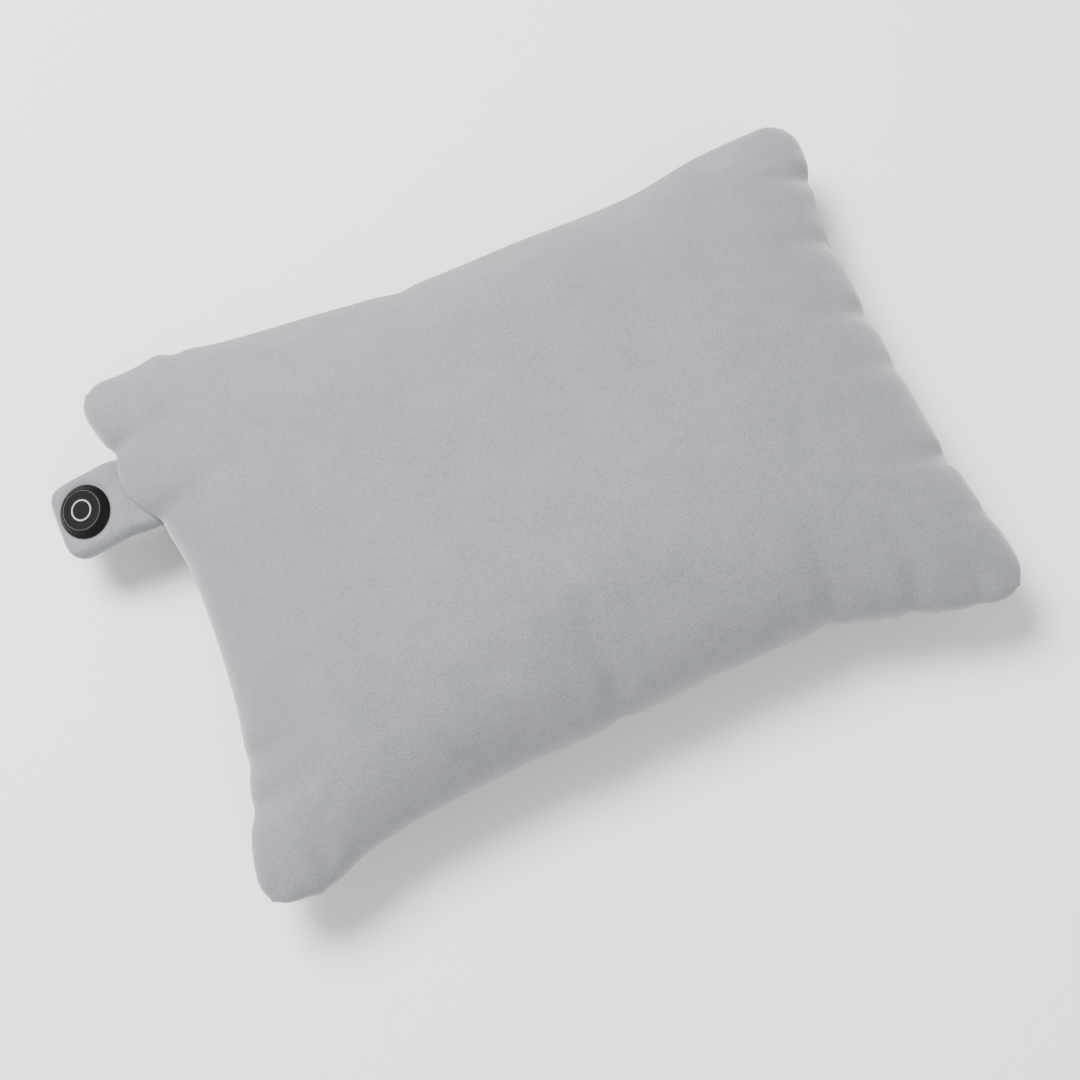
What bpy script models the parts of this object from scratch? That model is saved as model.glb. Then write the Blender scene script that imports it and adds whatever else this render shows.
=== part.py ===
"""Battery-heated camp pillow: a plush zip-off cover round a fibre-filled inner pillow, with a heating pad, a
battery in an inner pocket, and a push-button controller in a fabric tab sewn into one end seam.

Frame: metres, +Z up. The origin lies midway between the four corner tips, on the flat patch that the pillow
rests on. +X runs along the pillow's length, away from the tab. +Y points to the long edge that holds the zip.
"""

import math

import bmesh
import bpy
from mathutils import Vector
from mathutils.bvhtree import BVHTree

MM = 0.001

# Pillow, as stuffed and lying on a flat surface.
TIP_HALF_LENGTH = 215 * MM  # centre to a corner tip, along X
TIP_HALF_WIDTH = 151.5 * MM  # centre to a corner tip, along Y
END_PULL_IN = 14 * MM  # how far the middle of the plain short side lies inside its corner tips
TAB_END_PULL_IN = 28 * MM  # the same on the short side that holds the tab
SIDE_PULL_IN = 19 * MM  # how far the middle of a long side lies inside its corner tips
SEAM_HEIGHT = 46 * MM  # side seam above the surface that the pillow rests on
CROWN_RISE = 64 * MM  # control height of the upper panel's crown above the seam
BELLY_DROP = 62 * MM  # control depth of the lower panel below the seam, before it rests
FULLNESS = 0.45  # lower is plumper towards the seam
CELLS_LONG = 10  # control cells along the length
CELLS_WIDE = 8  # control cells across the width
SEAM_GAP = 0.3 * MM
PLUSH = 2.0 * MM  # cover fabric with its pile
CASING = 0.6 * MM  # inner casing fabric
CORNER_DEPTH = 8 * MM  # in the thin corner tips, layers shallower than this still keep their order
CORNER_SHARE = 0.25  # share of that depth left between them there
CASING_INSET = 4 * MM  # the inner pillow is cut this much smaller all round
SOFT_GAP = 0.3 * MM  # between soft layers that lie on each other
HARD_GAP = 0.1 * MM  # between small moulded pieces that seat on each other

# Heating pad, between the cover's upper panel and the inner pillow.
PAD_HALF_LENGTH = 122 * MM
PAD_HALF_WIDTH = 72 * MM
FELT = 0.6 * MM
WIRE_RADIUS = 0.5 * MM
WIRE_LAYER = 1.5 * MM  # space between the two felts
WIRE_RUNS = 7
WIRE_MARGIN = 9 * MM  # from the felts' edge to the outer runs
RUN_POINTS = 17
TURN_POINTS = 4

# Push-button controller, centred on the tab. Heights are above the tab's middle plane.
BEZEL_RADIUS = 14.2 * MM
BEZEL_LAND = 1.0 * MM  # upright edge under the bezel's slope
BEZEL_TOP = 10.5 * MM
BEZEL_TOP_RADIUS = 11.3 * MM
CAP_BORE_RADIUS = 10.6 * MM
CAP_CLEARANCE = 0.3 * MM
CAP_PROUD = 0.2 * MM
PRESS_TRAVEL = 0.5 * MM
LIP = 2.1 * MM  # bezel lip that retains the cap
CAP_FLANGE = 0.9 * MM
CHAMBER_RADIUS = 11.3 * MM
NECK_WALL = 0.7 * MM
NECK_BOTTOM = 3.0 * MM
HOUSING_WALL = 1.4 * MM
HOUSING_FLOOR = 1.4 * MM
RING_RADIUS = 5.35 * MM  # middle of the light ring
RING_WIDTH = 0.8 * MM
RING_DEPTH = 0.6 * MM
BOARD_TOP = -0.7 * MM
BOARD_THICKNESS = 0.8 * MM
SWITCH_SIDE = 6 * MM
SWITCH_HEIGHT = 3.2 * MM
PLUNGER_RADIUS = 1.7 * MM
PLUNGER_HEIGHT = 2.4 * MM
SCREW_CIRCLE = CHAMBER_RADIUS - 1.4 * MM
SCREW_RADIUS = 0.85 * MM
SCREW_HEAD_RADIUS = 1.5 * MM
SCREW_HEAD = 0.7 * MM
BOSS_RADIUS = 1.9 * MM
BOSS_TOP = 6.0 * MM
CABLE_RADIUS = 1.1 * MM
GROMMET_FLANGE = 0.8 * MM
GROMMET_RADIUS = 1.9 * MM
LED_SIZE = (2.0 * MM, 1.25 * MM, 0.8 * MM)

# Control tab, hinged where it is sewn into the seam.
TAB_CENTRE_Y = 82 * MM
TAB_DROOP = math.radians(17)
BUTTON_FROM_TIP = CHAMBER_RADIUS + 7.2 * MM
TAB_LENGTH = BUTTON_FROM_TIP + CHAMBER_RADIUS + 8.2 * MM
TAB_WIDTH = 2 * CHAMBER_RADIUS + 19.4 * MM
TAB_HALF_THICKNESS = 6 * MM
TAB_CORNER = 11 * MM
ROOT_RADIUS = 2.6 * MM  # half thickness of the flat fabric at the seam
FLARE_LENGTH = 5 * MM  # from the seam to the tab's full thickness
TAB_WALL = 1.5 * MM
ROOT_WALL = 1.1 * MM
ROOT_DEPTH = 3.2 * MM  # fabric caught inside the seam
STRIP_HALF_THICKNESS = 2 * MM  # the folded fabric where the seam holds it

# Battery and its pocket.
BATTERY_SIZE = (62 * MM, 96 * MM, 14 * MM)
BATTERY_CENTRE_X = -112 * MM
BATTERY_OUTER_Y = 90 * MM  # end that faces the zip
BATTERY_WALL = 1.2 * MM
POCKET_FABRIC = 0.8 * MM
PLUG_BODY = (14 * MM, 16 * MM, 7 * MM)
PLUG_TONGUE = (9 * MM, 6 * MM, 2.6 * MM)
SOCKET_SIZE = (13 * MM, 9 * MM, 6 * MM)
CELL_SIZE = (27 * MM, 76 * MM, 10 * MM)
LEAD_RADIUS = 0.7 * MM
LEAD_STEPS = 16
HEATER_LEAD_TURN = 45 * MM  # how far the heating pad's lead runs inwards

# Zip, set in the seam of the +Y long side.
ZIP_HALF_LENGTH = 125 * MM
ZIP_SLOT_HALF_HEIGHT = 4.5 * MM
ZIP_SINK = 0.9 * MM  # coil's back behind the seam line
COIL_INNER = 0.5 * MM  # half of the slit between the two coils
COIL_OUTER = 2.05 * MM
COIL_THICKNESS = 1.5 * MM
TAPE_THICKNESS = 0.6 * MM
SLIDER_LENGTH = 11 * MM
SLIDER_HALF_HEIGHT = 3.6 * MM
SLIDER_PLATE = 1.0 * MM
SLIDER_WEB = 0.25 * MM  # half of its thickness
BRIDGE_BAR = 0.8 * MM
BRIDGE_HALF_WIDTH = 0.6 * MM
BRIDGE_RISE = 2.2 * MM  # free height under the bridge
BRIDGE_LENGTH = 6.8 * MM
PULLER_LENGTH = 22 * MM
PULLER_THICKNESS = 1.2 * MM
PULLER_HALF_HEIGHT = 2.4 * MM
PULLER_EYE_LENGTH = 4.6 * MM
STOP_LENGTH = 2 * MM
STOP_CLEARANCE = 0.5 * MM

CLEAR = 200 * MM  # cutters reach this far past what they cut
ROUND = 40  # facets of a large round
SMALL_ROUND = 16


def clear_scene():
    for obj in list(bpy.data.objects):
        bpy.data.objects.remove(obj)


def collection(name, hidden=False):
    made = bpy.data.collections.new(name)
    bpy.context.scene.collection.children.link(made)
    made.hide_render = hidden
    return made


def material(name, colour, roughness, metallic=0.0):
    made = bpy.data.materials.new(name)
    made.use_nodes = True
    shader = made.node_tree.nodes["Principled BSDF"]
    shader.inputs["Base Color"].default_value = (*colour, 1)
    shader.inputs["Roughness"].default_value = roughness
    shader.inputs["Metallic"].default_value = metallic
    return made


clear_scene()
PIECES = collection("camp_pillow")
CUTTERS = collection("cutters", hidden=True)

PLUSH_GREY = material("plush_grey", (0.42, 0.43, 0.45), 0.95)
CASING_WHITE = material("casing_white", (0.82, 0.82, 0.80), 0.9)
FIBRE_WHITE = material("fibre_white", (0.9, 0.9, 0.9), 1.0)
FELT_GREY = material("felt_grey", (0.6, 0.6, 0.58), 1.0)
HEATER_RED = material("heater_red", (0.45, 0.05, 0.04), 0.5)
BLACK_PLASTIC = material("black_plastic", (0.012, 0.012, 0.013), 0.45)
LIGHT_GUIDE = material("light_guide", (0.62, 0.63, 0.66), 0.35)
BOARD_GREEN = material("board_green", (0.02, 0.18, 0.07), 0.45)
FOAM = material("foam", (0.75, 0.75, 0.72), 1.0)
CABLE_BLACK = material("cable_black", (0.02, 0.02, 0.02), 0.5)
STEEL = material("steel", (0.6, 0.6, 0.6), 0.3, 1.0)
CELL_SILVER = material("cell_silver", (0.65, 0.66, 0.68), 0.35, 0.6)
ZIP_GREY = material("zip_grey", (0.36, 0.37, 0.39), 0.7)
ZIP_METAL = material("zip_metal", (0.25, 0.26, 0.27), 0.35, 0.9)


# ------------------------------------------------------------------ shared ways of making a solid


def finish(obj, name, finish_material, parent=None, cutter=False):
    """Names an object and puts it with the pieces or with the cutters."""
    obj.name = name
    obj.data.name = name
    obj.parent = parent
    for holder in list(obj.users_collection):
        holder.objects.unlink(obj)
    (CUTTERS if cutter else PIECES).objects.link(obj)
    if cutter:
        obj.hide_render = True
        obj.display_type = "WIRE"
    else:
        obj.data.materials.append(finish_material)
    return obj


def box(name, low, high, finish_material=None, parent=None, cutter=False, rounding=0.0):
    low, high = Vector(low), Vector(high)
    bpy.ops.mesh.primitive_cube_add(size=1, location=(0, 0, 0))
    obj = bpy.context.object
    size = high - low
    for vertex in obj.data.vertices:
        vertex.co = Vector((vertex.co.x * size.x, vertex.co.y * size.y, vertex.co.z * size.z))
    obj.location = (low + high) / 2
    if rounding:
        bevel = obj.modifiers.new("rounding", "BEVEL")
        bevel.width = rounding
        bevel.segments = 2
    return finish(obj, name, finish_material, parent, cutter)


def sized_box(name, centre, size, *rest, **more):
    half = Vector(size) / 2
    return box(name, Vector(centre) - half, Vector(centre) + half, *rest, **more)


def cylinder(name, radius, low, high, centre=(0, 0), finish_material=None, parent=None, cutter=False,
             facets=SMALL_ROUND):
    """An upright cylinder from height low to height high."""
    mesh = bpy.data.meshes.new(name)
    bm = bmesh.new()
    bmesh.ops.create_cone(bm, cap_ends=True, segments=facets, radius1=radius, radius2=radius, depth=high - low)
    bm.to_mesh(mesh)
    bm.free()
    obj = bpy.data.objects.new(name, mesh)
    obj.location = (centre[0], centre[1], (low + high) / 2)
    return finish(obj, name, finish_material, parent, cutter)


def turned(name, profile, centre, finish_material, parent=None, facets=ROUND):
    """A turned piece. The profile lists (radius, height), down its outer side from the top."""
    mesh = bpy.data.meshes.new(name)
    bm = bmesh.new()
    points = [bm.verts.new((radius, 0, height)) for radius, height in profile]
    for first, second in zip(points, [*points[1:], points[0]]):
        if first.co.x > 0 or second.co.x > 0:
            bm.edges.new((first, second))
    bm.to_mesh(mesh)
    bm.free()
    obj = bpy.data.objects.new(name, mesh)
    obj.location = (centre[0], centre[1], 0)
    screw = obj.modifiers.new("turn", "SCREW")
    screw.steps = facets
    screw.render_steps = facets
    screw.use_merge_vertices = True
    screw.merge_threshold = 0.001 * MM
    bpy.context.scene.collection.objects.link(obj)
    return finish(meshed(obj), name, finish_material, parent)


def tube(name, points, radius, finish_material=None, parent=None, cutter=False, solid=False, sides=2):
    """A round cable along points. What cuts or is cut becomes a closed mesh, because a curve can't do either."""
    curve = bpy.data.curves.new(name, "CURVE")
    curve.dimensions = "3D"
    curve.bevel_depth = radius
    curve.bevel_resolution = sides
    curve.use_fill_caps = True
    spline = curve.splines.new("POLY")
    spline.points.add(len(points) - 1)
    for spline_point, place in zip(spline.points, points):
        spline_point.co = (*place, 1)
    obj = bpy.data.objects.new(name, curve)
    bpy.context.scene.collection.objects.link(obj)
    return finish(meshed(obj) if cutter or solid else obj, name, finish_material, parent, cutter)


def meshed(obj):
    """The curve object as a closed mesh object."""
    bpy.context.view_layer.update()
    evaluated = obj.evaluated_get(bpy.context.evaluated_depsgraph_get())
    mesh = bpy.data.meshes.new_from_object(evaluated)
    bm = bmesh.new()
    bm.from_mesh(mesh)
    bmesh.ops.remove_doubles(bm, verts=bm.verts, dist=0.001 * MM)
    bmesh.ops.recalc_face_normals(bm, faces=bm.faces)
    bm.to_mesh(mesh)
    bm.free()
    made = bpy.data.objects.new(obj.name, mesh)
    made.matrix_world = obj.matrix_world
    bpy.context.scene.collection.objects.link(made)
    bpy.data.objects.remove(obj)
    return made


def outline_solid(name, outline, half_depth, finish_material=None, parent=None, cutter=False, upright=False):
    """A flat outline with thickness. It lies in XY, or in XZ when upright."""
    curve = bpy.data.curves.new(name, "CURVE")
    curve.dimensions = "2D"
    curve.fill_mode = "BOTH"
    curve.extrude = half_depth
    spline = curve.splines.new("POLY")
    spline.points.add(len(outline) - 1)
    for spline_point, (across, along) in zip(spline.points, outline):
        spline_point.co = (across, along, 0, 1)
    spline.use_cyclic_u = True
    obj = bpy.data.objects.new(name, curve)
    if upright:
        obj.rotation_euler = (math.pi / 2, 0, 0)
    bpy.context.scene.collection.objects.link(obj)
    return finish(meshed(obj), name, finish_material, parent, cutter)


def arc(centre, radius, start, end, steps):
    """Points on an arc, both ends included. Angles are in degrees."""
    angles = [math.radians(start + (end - start) * step / steps) for step in range(steps + 1)]
    return [(centre[0] + radius * math.cos(a), centre[1] + radius * math.sin(a)) for a in angles]


def boolean(obj, operation, other):
    modifier = obj.modifiers.new(operation.lower() + "_" + other.name, "BOOLEAN")
    modifier.operation = operation
    modifier.object = other
    modifier.solver = "EXACT"
    return obj


def cut(other, *pieces):
    for piece in pieces:
        boolean(piece, "DIFFERENCE", other)


def smooth_path(points, per_span):
    """Points on a smooth curve through the given ones."""
    ends = [points[0], *points, points[-1]]
    path = []
    for before, start, end, after in zip(ends, ends[1:], ends[2:], ends[3:]):
        before, start, end, after = map(Vector, (before, start, end, after))
        for step in range(per_span):
            t = step / per_span
            path.append(
                0.5 * (2 * start + (end - before) * t + (2 * before - 5 * start + 4 * end - after) * t * t
                       + (3 * start - before - 3 * end + after) * t ** 3)
            )
    return [*path, Vector(points[-1])]


# ------------------------------------------------------------------ pillow layers


def panel_mesh(name, rise, floor):
    """The outer surface of one panel: rise is its control height at the crown, floor the lowest it may lie."""
    bpy.ops.mesh.primitive_grid_add(x_subdivisions=CELLS_LONG, y_subdivisions=CELLS_WIDE, size=2)
    obj = bpy.context.object
    corner_y = (5 * TIP_HALF_WIDTH + SIDE_PULL_IN) / (5 - 2 / CELLS_WIDE)
    side_pull = corner_y - TIP_HALF_WIDTH + SIDE_PULL_IN
    for vertex in obj.data.vertices:
        u, v = vertex.co.x, vertex.co.y
        pull_in = TAB_END_PULL_IN if u < 0 else END_PULL_IN
        corner_x = TIP_HALF_LENGTH + 0.42 * pull_in
        side = side_pull if abs(u) < 1 - 1 / CELLS_LONG else 0.0
        end = (corner_x - TIP_HALF_LENGTH + pull_in) * (1 - abs(v) ** 2.6)
        bulge = max(0.0, (1 - abs(u) ** 2.2) * (1 - abs(v) ** 2.2)) ** FULLNESS
        vertex.co = (u * (corner_x - end), v * (corner_y - side), max(SEAM_HEIGHT + rise * bulge, floor))
    subdivision = obj.modifiers.new("soft", "SUBSURF")
    subdivision.levels = 1
    subdivision.render_levels = 1
    bpy.context.view_layer.update()
    evaluated = obj.evaluated_get(bpy.context.evaluated_depsgraph_get())
    mesh = bpy.data.meshes.new_from_object(evaluated)
    mesh.name = name
    bpy.data.objects.remove(obj)
    bm = bmesh.new()
    bm.from_mesh(mesh)
    for face in list(bm.faces):
        corners = sorted(face.verts, key=lambda vertex: vertex.co.xy.length)
        bmesh.utils.face_split(face, corners[0], corners[-1])
    bm.to_mesh(mesh)
    bm.free()
    return mesh


UPPER = panel_mesh("upper_surface", CROWN_RISE, 0.0)
LOWER = panel_mesh("lower_surface", -BELLY_DROP, 0.0)


def add_surface(bm, side, depth, shrink=0.0, facing_out=True):
    """Adds one panel's surface, sunk by depth towards the pillow's inside, with its rim on the seam plane."""
    surface = UPPER if side > 0 else LOWER
    first_vertex, first_face = len(bm.verts), len(bm.faces)
    bm.from_mesh(surface)
    bm.verts.ensure_lookup_table()
    bm.faces.ensure_lookup_table()
    added, faces = bm.verts[first_vertex:], bm.faces[first_face:]
    seam = SEAM_HEIGHT + side * SEAM_GAP / 2
    nearest = seam + side * CORNER_SHARE * (CORNER_DEPTH - depth)
    for vertex, source in zip(added, surface.vertices):
        place = source.co - source.normal * side * depth
        place.x *= 1 - shrink / TIP_HALF_LENGTH
        place.y *= 1 - shrink / TIP_HALF_WIDTH
        if vertex.is_boundary:
            place.z = seam
        elif (place.z - nearest) * side < 0:
            place.z = nearest
        vertex.co = place
    if (side > 0) != facing_out:
        bmesh.ops.reverse_faces(bm, faces=faces)
    return added, faces


def closed_piece(bm, first_surface, second_surface, name, finish_material):
    """Joins the two surfaces in bm along their matching rims and makes them a piece."""
    facing = {first: second for first, second in zip(first_surface, second_surface) if first.is_valid}
    for edge in [edge for edge in bm.edges if edge.is_boundary and edge.verts[0] in facing]:
        start, end = edge.link_loops[0].vert, edge.link_loops[0].link_loop_next.vert
        bm.faces.new((end, start, facing[start], facing[end]))
    mesh = bpy.data.meshes.new(name)
    bm.to_mesh(mesh)
    bm.free()
    obj = bpy.data.objects.new(name, mesh)
    return finish(obj, name, finish_material)


def sheet(name, side, depth, thickness, finish_material, shrink=0.0, keep=None):
    """A layer of fabric or felt whose outer face lies depth inside the panel. keep picks the cells it covers."""
    bm = bmesh.new()
    outer, outer_cells = add_surface(bm, side, depth, shrink, True)
    inner, inner_cells = add_surface(bm, side, depth + thickness, shrink, False)
    if keep:
        places = [cell.center.copy() for cell in (UPPER if side > 0 else LOWER).polygons] * 2
        outside = [cell for cell, place in zip([*outer_cells, *inner_cells], places) if not keep(place)]
        bmesh.ops.delete(bm, geom=outside, context="FACES")
    return closed_piece(bm, outer, inner, name, finish_material)


CROWN = BVHTree.FromPolygons([v.co for v in UPPER.vertices], [p.vertices for p in UPPER.polygons])
RIM = sorted(
    (v.co for v in UPPER.vertices if abs(v.co.z - SEAM_HEIGHT) < SEAM_GAP),
    key=lambda place: math.atan2(place.y, place.x),
)


def under_crown(x, y, depth):
    """The point depth under the upper panel's outer surface at (x, y)."""
    hit, normal, _, _ = CROWN.ray_cast(Vector((x, y, 1)), Vector((0, 0, -1)))
    return hit - normal * depth


def seam_offset(along, across, way, at):
    """How far out the seam line lies at a place along it: an end seam at y = at, a side seam at x = at.

    way is 1 for the edge on the positive side and -1 for the other.
    """
    reach = 0.7 * max(way * place[across] for place in RIM)
    line = sorted((place[along], way * place[across]) for place in RIM if way * place[across] > reach)
    for (start, low), (end, high) in zip(line, line[1:]):
        if start <= at <= end and end > start:
            return low + (high - low) * (at - start) / (end - start)
    return line[0][1]


WIRE_DEPTH = PLUSH + SOFT_GAP + FELT + WIRE_LAYER / 2
CARRIER_DEPTH = WIRE_DEPTH + WIRE_LAYER / 2
CASING_TOP_DEPTH = CARRIER_DEPTH + FELT + SOFT_GAP
CASING_BOTTOM_DEPTH = PLUSH + SOFT_GAP
CASING_BOTTOM_INSET = CASING_INSET + CASING_TOP_DEPTH - CASING_BOTTOM_DEPTH


def on_pad(place):
    return abs(place.x) < PAD_HALF_LENGTH and abs(place.y) < PAD_HALF_WIDTH


cover_top = sheet("cover_top_panel", 1, 0, PLUSH, PLUSH_GREY)
cover_bottom = sheet("cover_bottom_panel", -1, 0, PLUSH, PLUSH_GREY)
casing_top = sheet("inner_casing_top", 1, CASING_TOP_DEPTH, CASING, CASING_WHITE, CASING_INSET)
casing_bottom = sheet(
    "inner_casing_bottom", -1, CASING_BOTTOM_DEPTH, CASING, CASING_WHITE, CASING_BOTTOM_INSET
)


def make_fill():
    bm = bmesh.new()
    upper, _ = add_surface(bm, 1, CASING_TOP_DEPTH + CASING + SOFT_GAP, CASING_INSET)
    lower, _ = add_surface(bm, -1, CASING_BOTTOM_DEPTH + CASING + SOFT_GAP, CASING_BOTTOM_INSET)
    return closed_piece(bm, upper, lower, "fibre_fill", FIBRE_WHITE)


fill = make_fill()

# ------------------------------------------------------------------ heating pad

sheet("heater_cover_felt", 1, PLUSH + SOFT_GAP, FELT, FELT_GREY, keep=on_pad)
sheet("heater_carrier_felt", 1, CARRIER_DEPTH, FELT, FELT_GREY, keep=on_pad)


def wire_route():
    """The heating wire's route in plan: straight runs along the pad, joined by half-round turns."""
    half_run = PAD_HALF_LENGTH - 2 * WIRE_MARGIN
    spacing = 2 * (PAD_HALF_WIDTH - WIRE_MARGIN) / (WIRE_RUNS - 1)
    route = []
    for run in range(WIRE_RUNS):
        y = PAD_HALF_WIDTH - WIRE_MARGIN - run * spacing
        way = 1 if run % 2 == 0 else -1
        route += [(way * half_run * (2 * step / (RUN_POINTS - 1) - 1), y) for step in range(RUN_POINTS)]
        if run < WIRE_RUNS - 1:
            centre = (way * half_run, y - spacing / 2)
            turn = arc(centre, spacing / 2, 90, 90 - way * 180, TURN_POINTS)
            route += turn[1:-1]
    return route


tube("heater_wire", [under_crown(x, y, WIRE_DEPTH) for x, y in wire_route()], WIRE_RADIUS, HEATER_RED, sides=1)

BEAD_X = -PAD_HALF_LENGTH + 3 * WIRE_MARGIN
BEAD_Y = (PAD_HALF_WIDTH - WIRE_MARGIN) / (WIRE_RUNS - 1)
BEAD_HALF_LENGTH = 2 * MM
tube(
    "thermistor",
    [under_crown(BEAD_X + end * BEAD_HALF_LENGTH, BEAD_Y, WIRE_DEPTH) for end in (-1, 1)],
    WIRE_RADIUS,
    BLACK_PLASTIC,
    sides=2,
)

# ------------------------------------------------------------------ control tab
# Built in the tab's own frame: the seam line is its Y axis, the tab runs towards -X, and +Z is its upper face.

seam_reaches = [seam_offset(1, 0, -1, TAB_CENTRE_Y + side * TAB_WIDTH / 2) for side in (-1, 0, 1)]
END_SEAM = min(seam_reaches)
END_SEAM_OUTER = max(seam_reaches)
TAB_HINGE_X = -(END_SEAM_OUTER + ROOT_RADIUS + SOFT_GAP)
tab = bpy.data.objects.new("tab_frame", None)
tab.location = (TAB_HINGE_X, TAB_CENTRE_Y, SEAM_HEIGHT)
tab.rotation_euler = (0, -TAB_DROOP, 0)
PIECES.objects.link(tab)

BUTTON_X = -(TAB_LENGTH - BUTTON_FROM_TIP)
CAVITY_HALF = TAB_HALF_THICKNESS - TAB_WALL
BEZEL_BASE = TAB_HALF_THICKNESS + SOFT_GAP
NECK_RADIUS = CHAMBER_RADIUS + NECK_WALL
HOUSING_INNER = NECK_RADIUS + CAP_CLEARANCE
HOUSING_OUTER = HOUSING_INNER + HOUSING_WALL
HOUSING_TOP = CAVITY_HALF - SOFT_GAP
HOUSING_BOTTOM = -CAVITY_HALF + 2 * SOFT_GAP


def tab_profile(inset, root):
    """Side outline of the tab, inset from its outer faces, with the given half thickness at the seam."""
    thick = TAB_HALF_THICKNESS - inset
    tip = TAB_LENGTH - inset
    upper = [(-FLARE_LENGTH * t, root + (thick - root) * (3 * t * t - 2 * t ** 3)) for t in (0.25, 0.5, 0.75, 1)]
    nose = arc((-tip + thick, 0), thick, 90, 270, 8)
    lower = [(x, -z) for x, z in reversed(upper)]
    return [*upper, *nose, *lower]


def tab_plan(inset, open_root):
    """Plan outline of the tab, inset from its edges. Its root end is square and reaches open_root past the seam."""
    half = TAB_WIDTH / 2 - inset
    radius = TAB_CORNER - inset
    left = -TAB_LENGTH + inset
    far = arc((left + radius, half - radius), radius, 90, 180, 6)
    near = arc((left + radius, radius - half), radius, 180, 270, 6)
    return [(open_root, half), *far, *near, (open_root, -half)]


def tab_body(name, inset, root, end, finish_material=None, cutter=False):
    """The tab's shape, inset all round. end lists the outline points that close it at the root."""
    profile = [*end, *tab_profile(inset, root)]
    solid = outline_solid(name, profile, TAB_WIDTH, finish_material, tab, cutter, upright=True)
    plan = outline_solid(
        name + "_plan", tab_plan(inset, 3 * ROOT_RADIUS), 4 * TAB_HALF_THICKNESS, None, tab, True
    )
    return boolean(solid, "INTERSECT", plan)


root_end = arc((0, 0), ROOT_RADIUS, -90, 90, 8)
open_end = [(2 * ROOT_RADIUS, -(ROOT_RADIUS - ROOT_WALL)), (2 * ROOT_RADIUS, ROOT_RADIUS - ROOT_WALL)]
cavity = tab_body("tab_cavity", TAB_WALL, ROOT_RADIUS - ROOT_WALL, open_end, cutter=True)
halves = {
    "tab_sleeve_top": box(
        "tab_lower_space", (-CLEAR, -CLEAR, -CLEAR), (CLEAR, CLEAR, SEAM_GAP / 2), parent=tab, cutter=True
    ),
    "tab_sleeve_bottom": box(
        "tab_upper_space", (-CLEAR, -CLEAR, -SEAM_GAP / 2), (CLEAR, CLEAR, CLEAR), parent=tab, cutter=True
    ),
}
neck_hole = cylinder(
    "neck_hole", NECK_RADIUS + SOFT_GAP, 0, CLEAR, (BUTTON_X, 0), parent=tab, cutter=True, facets=ROUND
)
for sleeve_name, other_half in halves.items():
    sleeve = tab_body(sleeve_name, 0, ROOT_RADIUS, root_end, PLUSH_GREY)
    cut(cavity, sleeve)
    cut(other_half, sleeve)
    if sleeve_name == "tab_sleeve_top":
        cut(neck_hole, sleeve)

CABLE_HEIGHT = BOARD_TOP + CABLE_RADIUS + CAP_CLEARANCE
CABLE_START = BUTTON_X + NECK_RADIUS - 3 * CABLE_RADIUS
cable_points = smooth_path(
    [
        (CABLE_START, 0, CABLE_HEIGHT),
        (BUTTON_X + HOUSING_OUTER + GROMMET_FLANGE, 0, CABLE_HEIGHT),
        (-2 * CABLE_RADIUS, 0, 0),
        (ROOT_RADIUS - 2 * HARD_GAP - SOFT_GAP, 0, 0),
    ],
    4,
)
tube("controller_cable", cable_points, CABLE_RADIUS, CABLE_BLACK, tab)
cable_channel = tube("cable_channel", cable_points, 2 * CABLE_RADIUS, parent=tab, cutter=True)
housing_hole = cylinder(
    "housing_hole", HOUSING_OUTER + SOFT_GAP, -CLEAR, CLEAR, (BUTTON_X, 0), parent=tab, cutter=True, facets=ROUND
)
padding = tab_body(
    "tab_padding", TAB_WALL + SOFT_GAP, CAVITY_HALF - SOFT_GAP,
    [(0, -(CAVITY_HALF - SOFT_GAP)), (0, CAVITY_HALF - SOFT_GAP)], FOAM,
)
root_space = box("root_space", (-FLARE_LENGTH, -CLEAR, -CLEAR), (CLEAR, CLEAR, CLEAR), parent=tab, cutter=True)
cut(root_space, padding)
cut(housing_hole, padding)
cut(cable_channel, padding)

# ------------------------------------------------------------------ push-button controller

LIP_BOTTOM = BEZEL_TOP - LIP
bezel = turned(
    "button_bezel",
    [
        (BEZEL_TOP_RADIUS, BEZEL_TOP),
        (BEZEL_RADIUS, BEZEL_BASE + BEZEL_LAND),
        (BEZEL_RADIUS, BEZEL_BASE),
        (NECK_RADIUS, BEZEL_BASE),
        (NECK_RADIUS, NECK_BOTTOM),
        (CHAMBER_RADIUS, NECK_BOTTOM),
        (CHAMBER_RADIUS, LIP_BOTTOM),
        (CAP_BORE_RADIUS, LIP_BOTTOM),
        (CAP_BORE_RADIUS, BEZEL_TOP),
    ],
    (BUTTON_X, 0),
    BLACK_PLASTIC,
    tab,
)

CAP_TOP = BEZEL_TOP + CAP_PROUD
CAP_RADIUS = CAP_BORE_RADIUS - CAP_CLEARANCE
FLANGE_RADIUS = CHAMBER_RADIUS - CAP_CLEARANCE
FLANGE_TOP = LIP_BOTTOM - CAP_CLEARANCE
FLANGE_BOTTOM = FLANGE_TOP - CAP_FLANGE
CAP_CEILING = FLANGE_TOP + CAP_FLANGE
CAP_WALL_RADIUS = CAP_RADIUS - CAP_FLANGE
GROOVE_INNER = RING_RADIUS - RING_WIDTH / 2 - HARD_GAP
GROOVE_OUTER = RING_RADIUS + RING_WIDTH / 2 + HARD_GAP
GROOVE_FLOOR = CAP_TOP - RING_DEPTH - HARD_GAP
SWITCH_BASE = BOARD_TOP + HARD_GAP / 2
SWITCH_TOP = SWITCH_BASE + SWITCH_HEIGHT
PLUNGER_BOTTOM = SWITCH_TOP - PRESS_TRAVEL
PLUNGER_TOP = PLUNGER_BOTTOM + PLUNGER_HEIGHT
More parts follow.
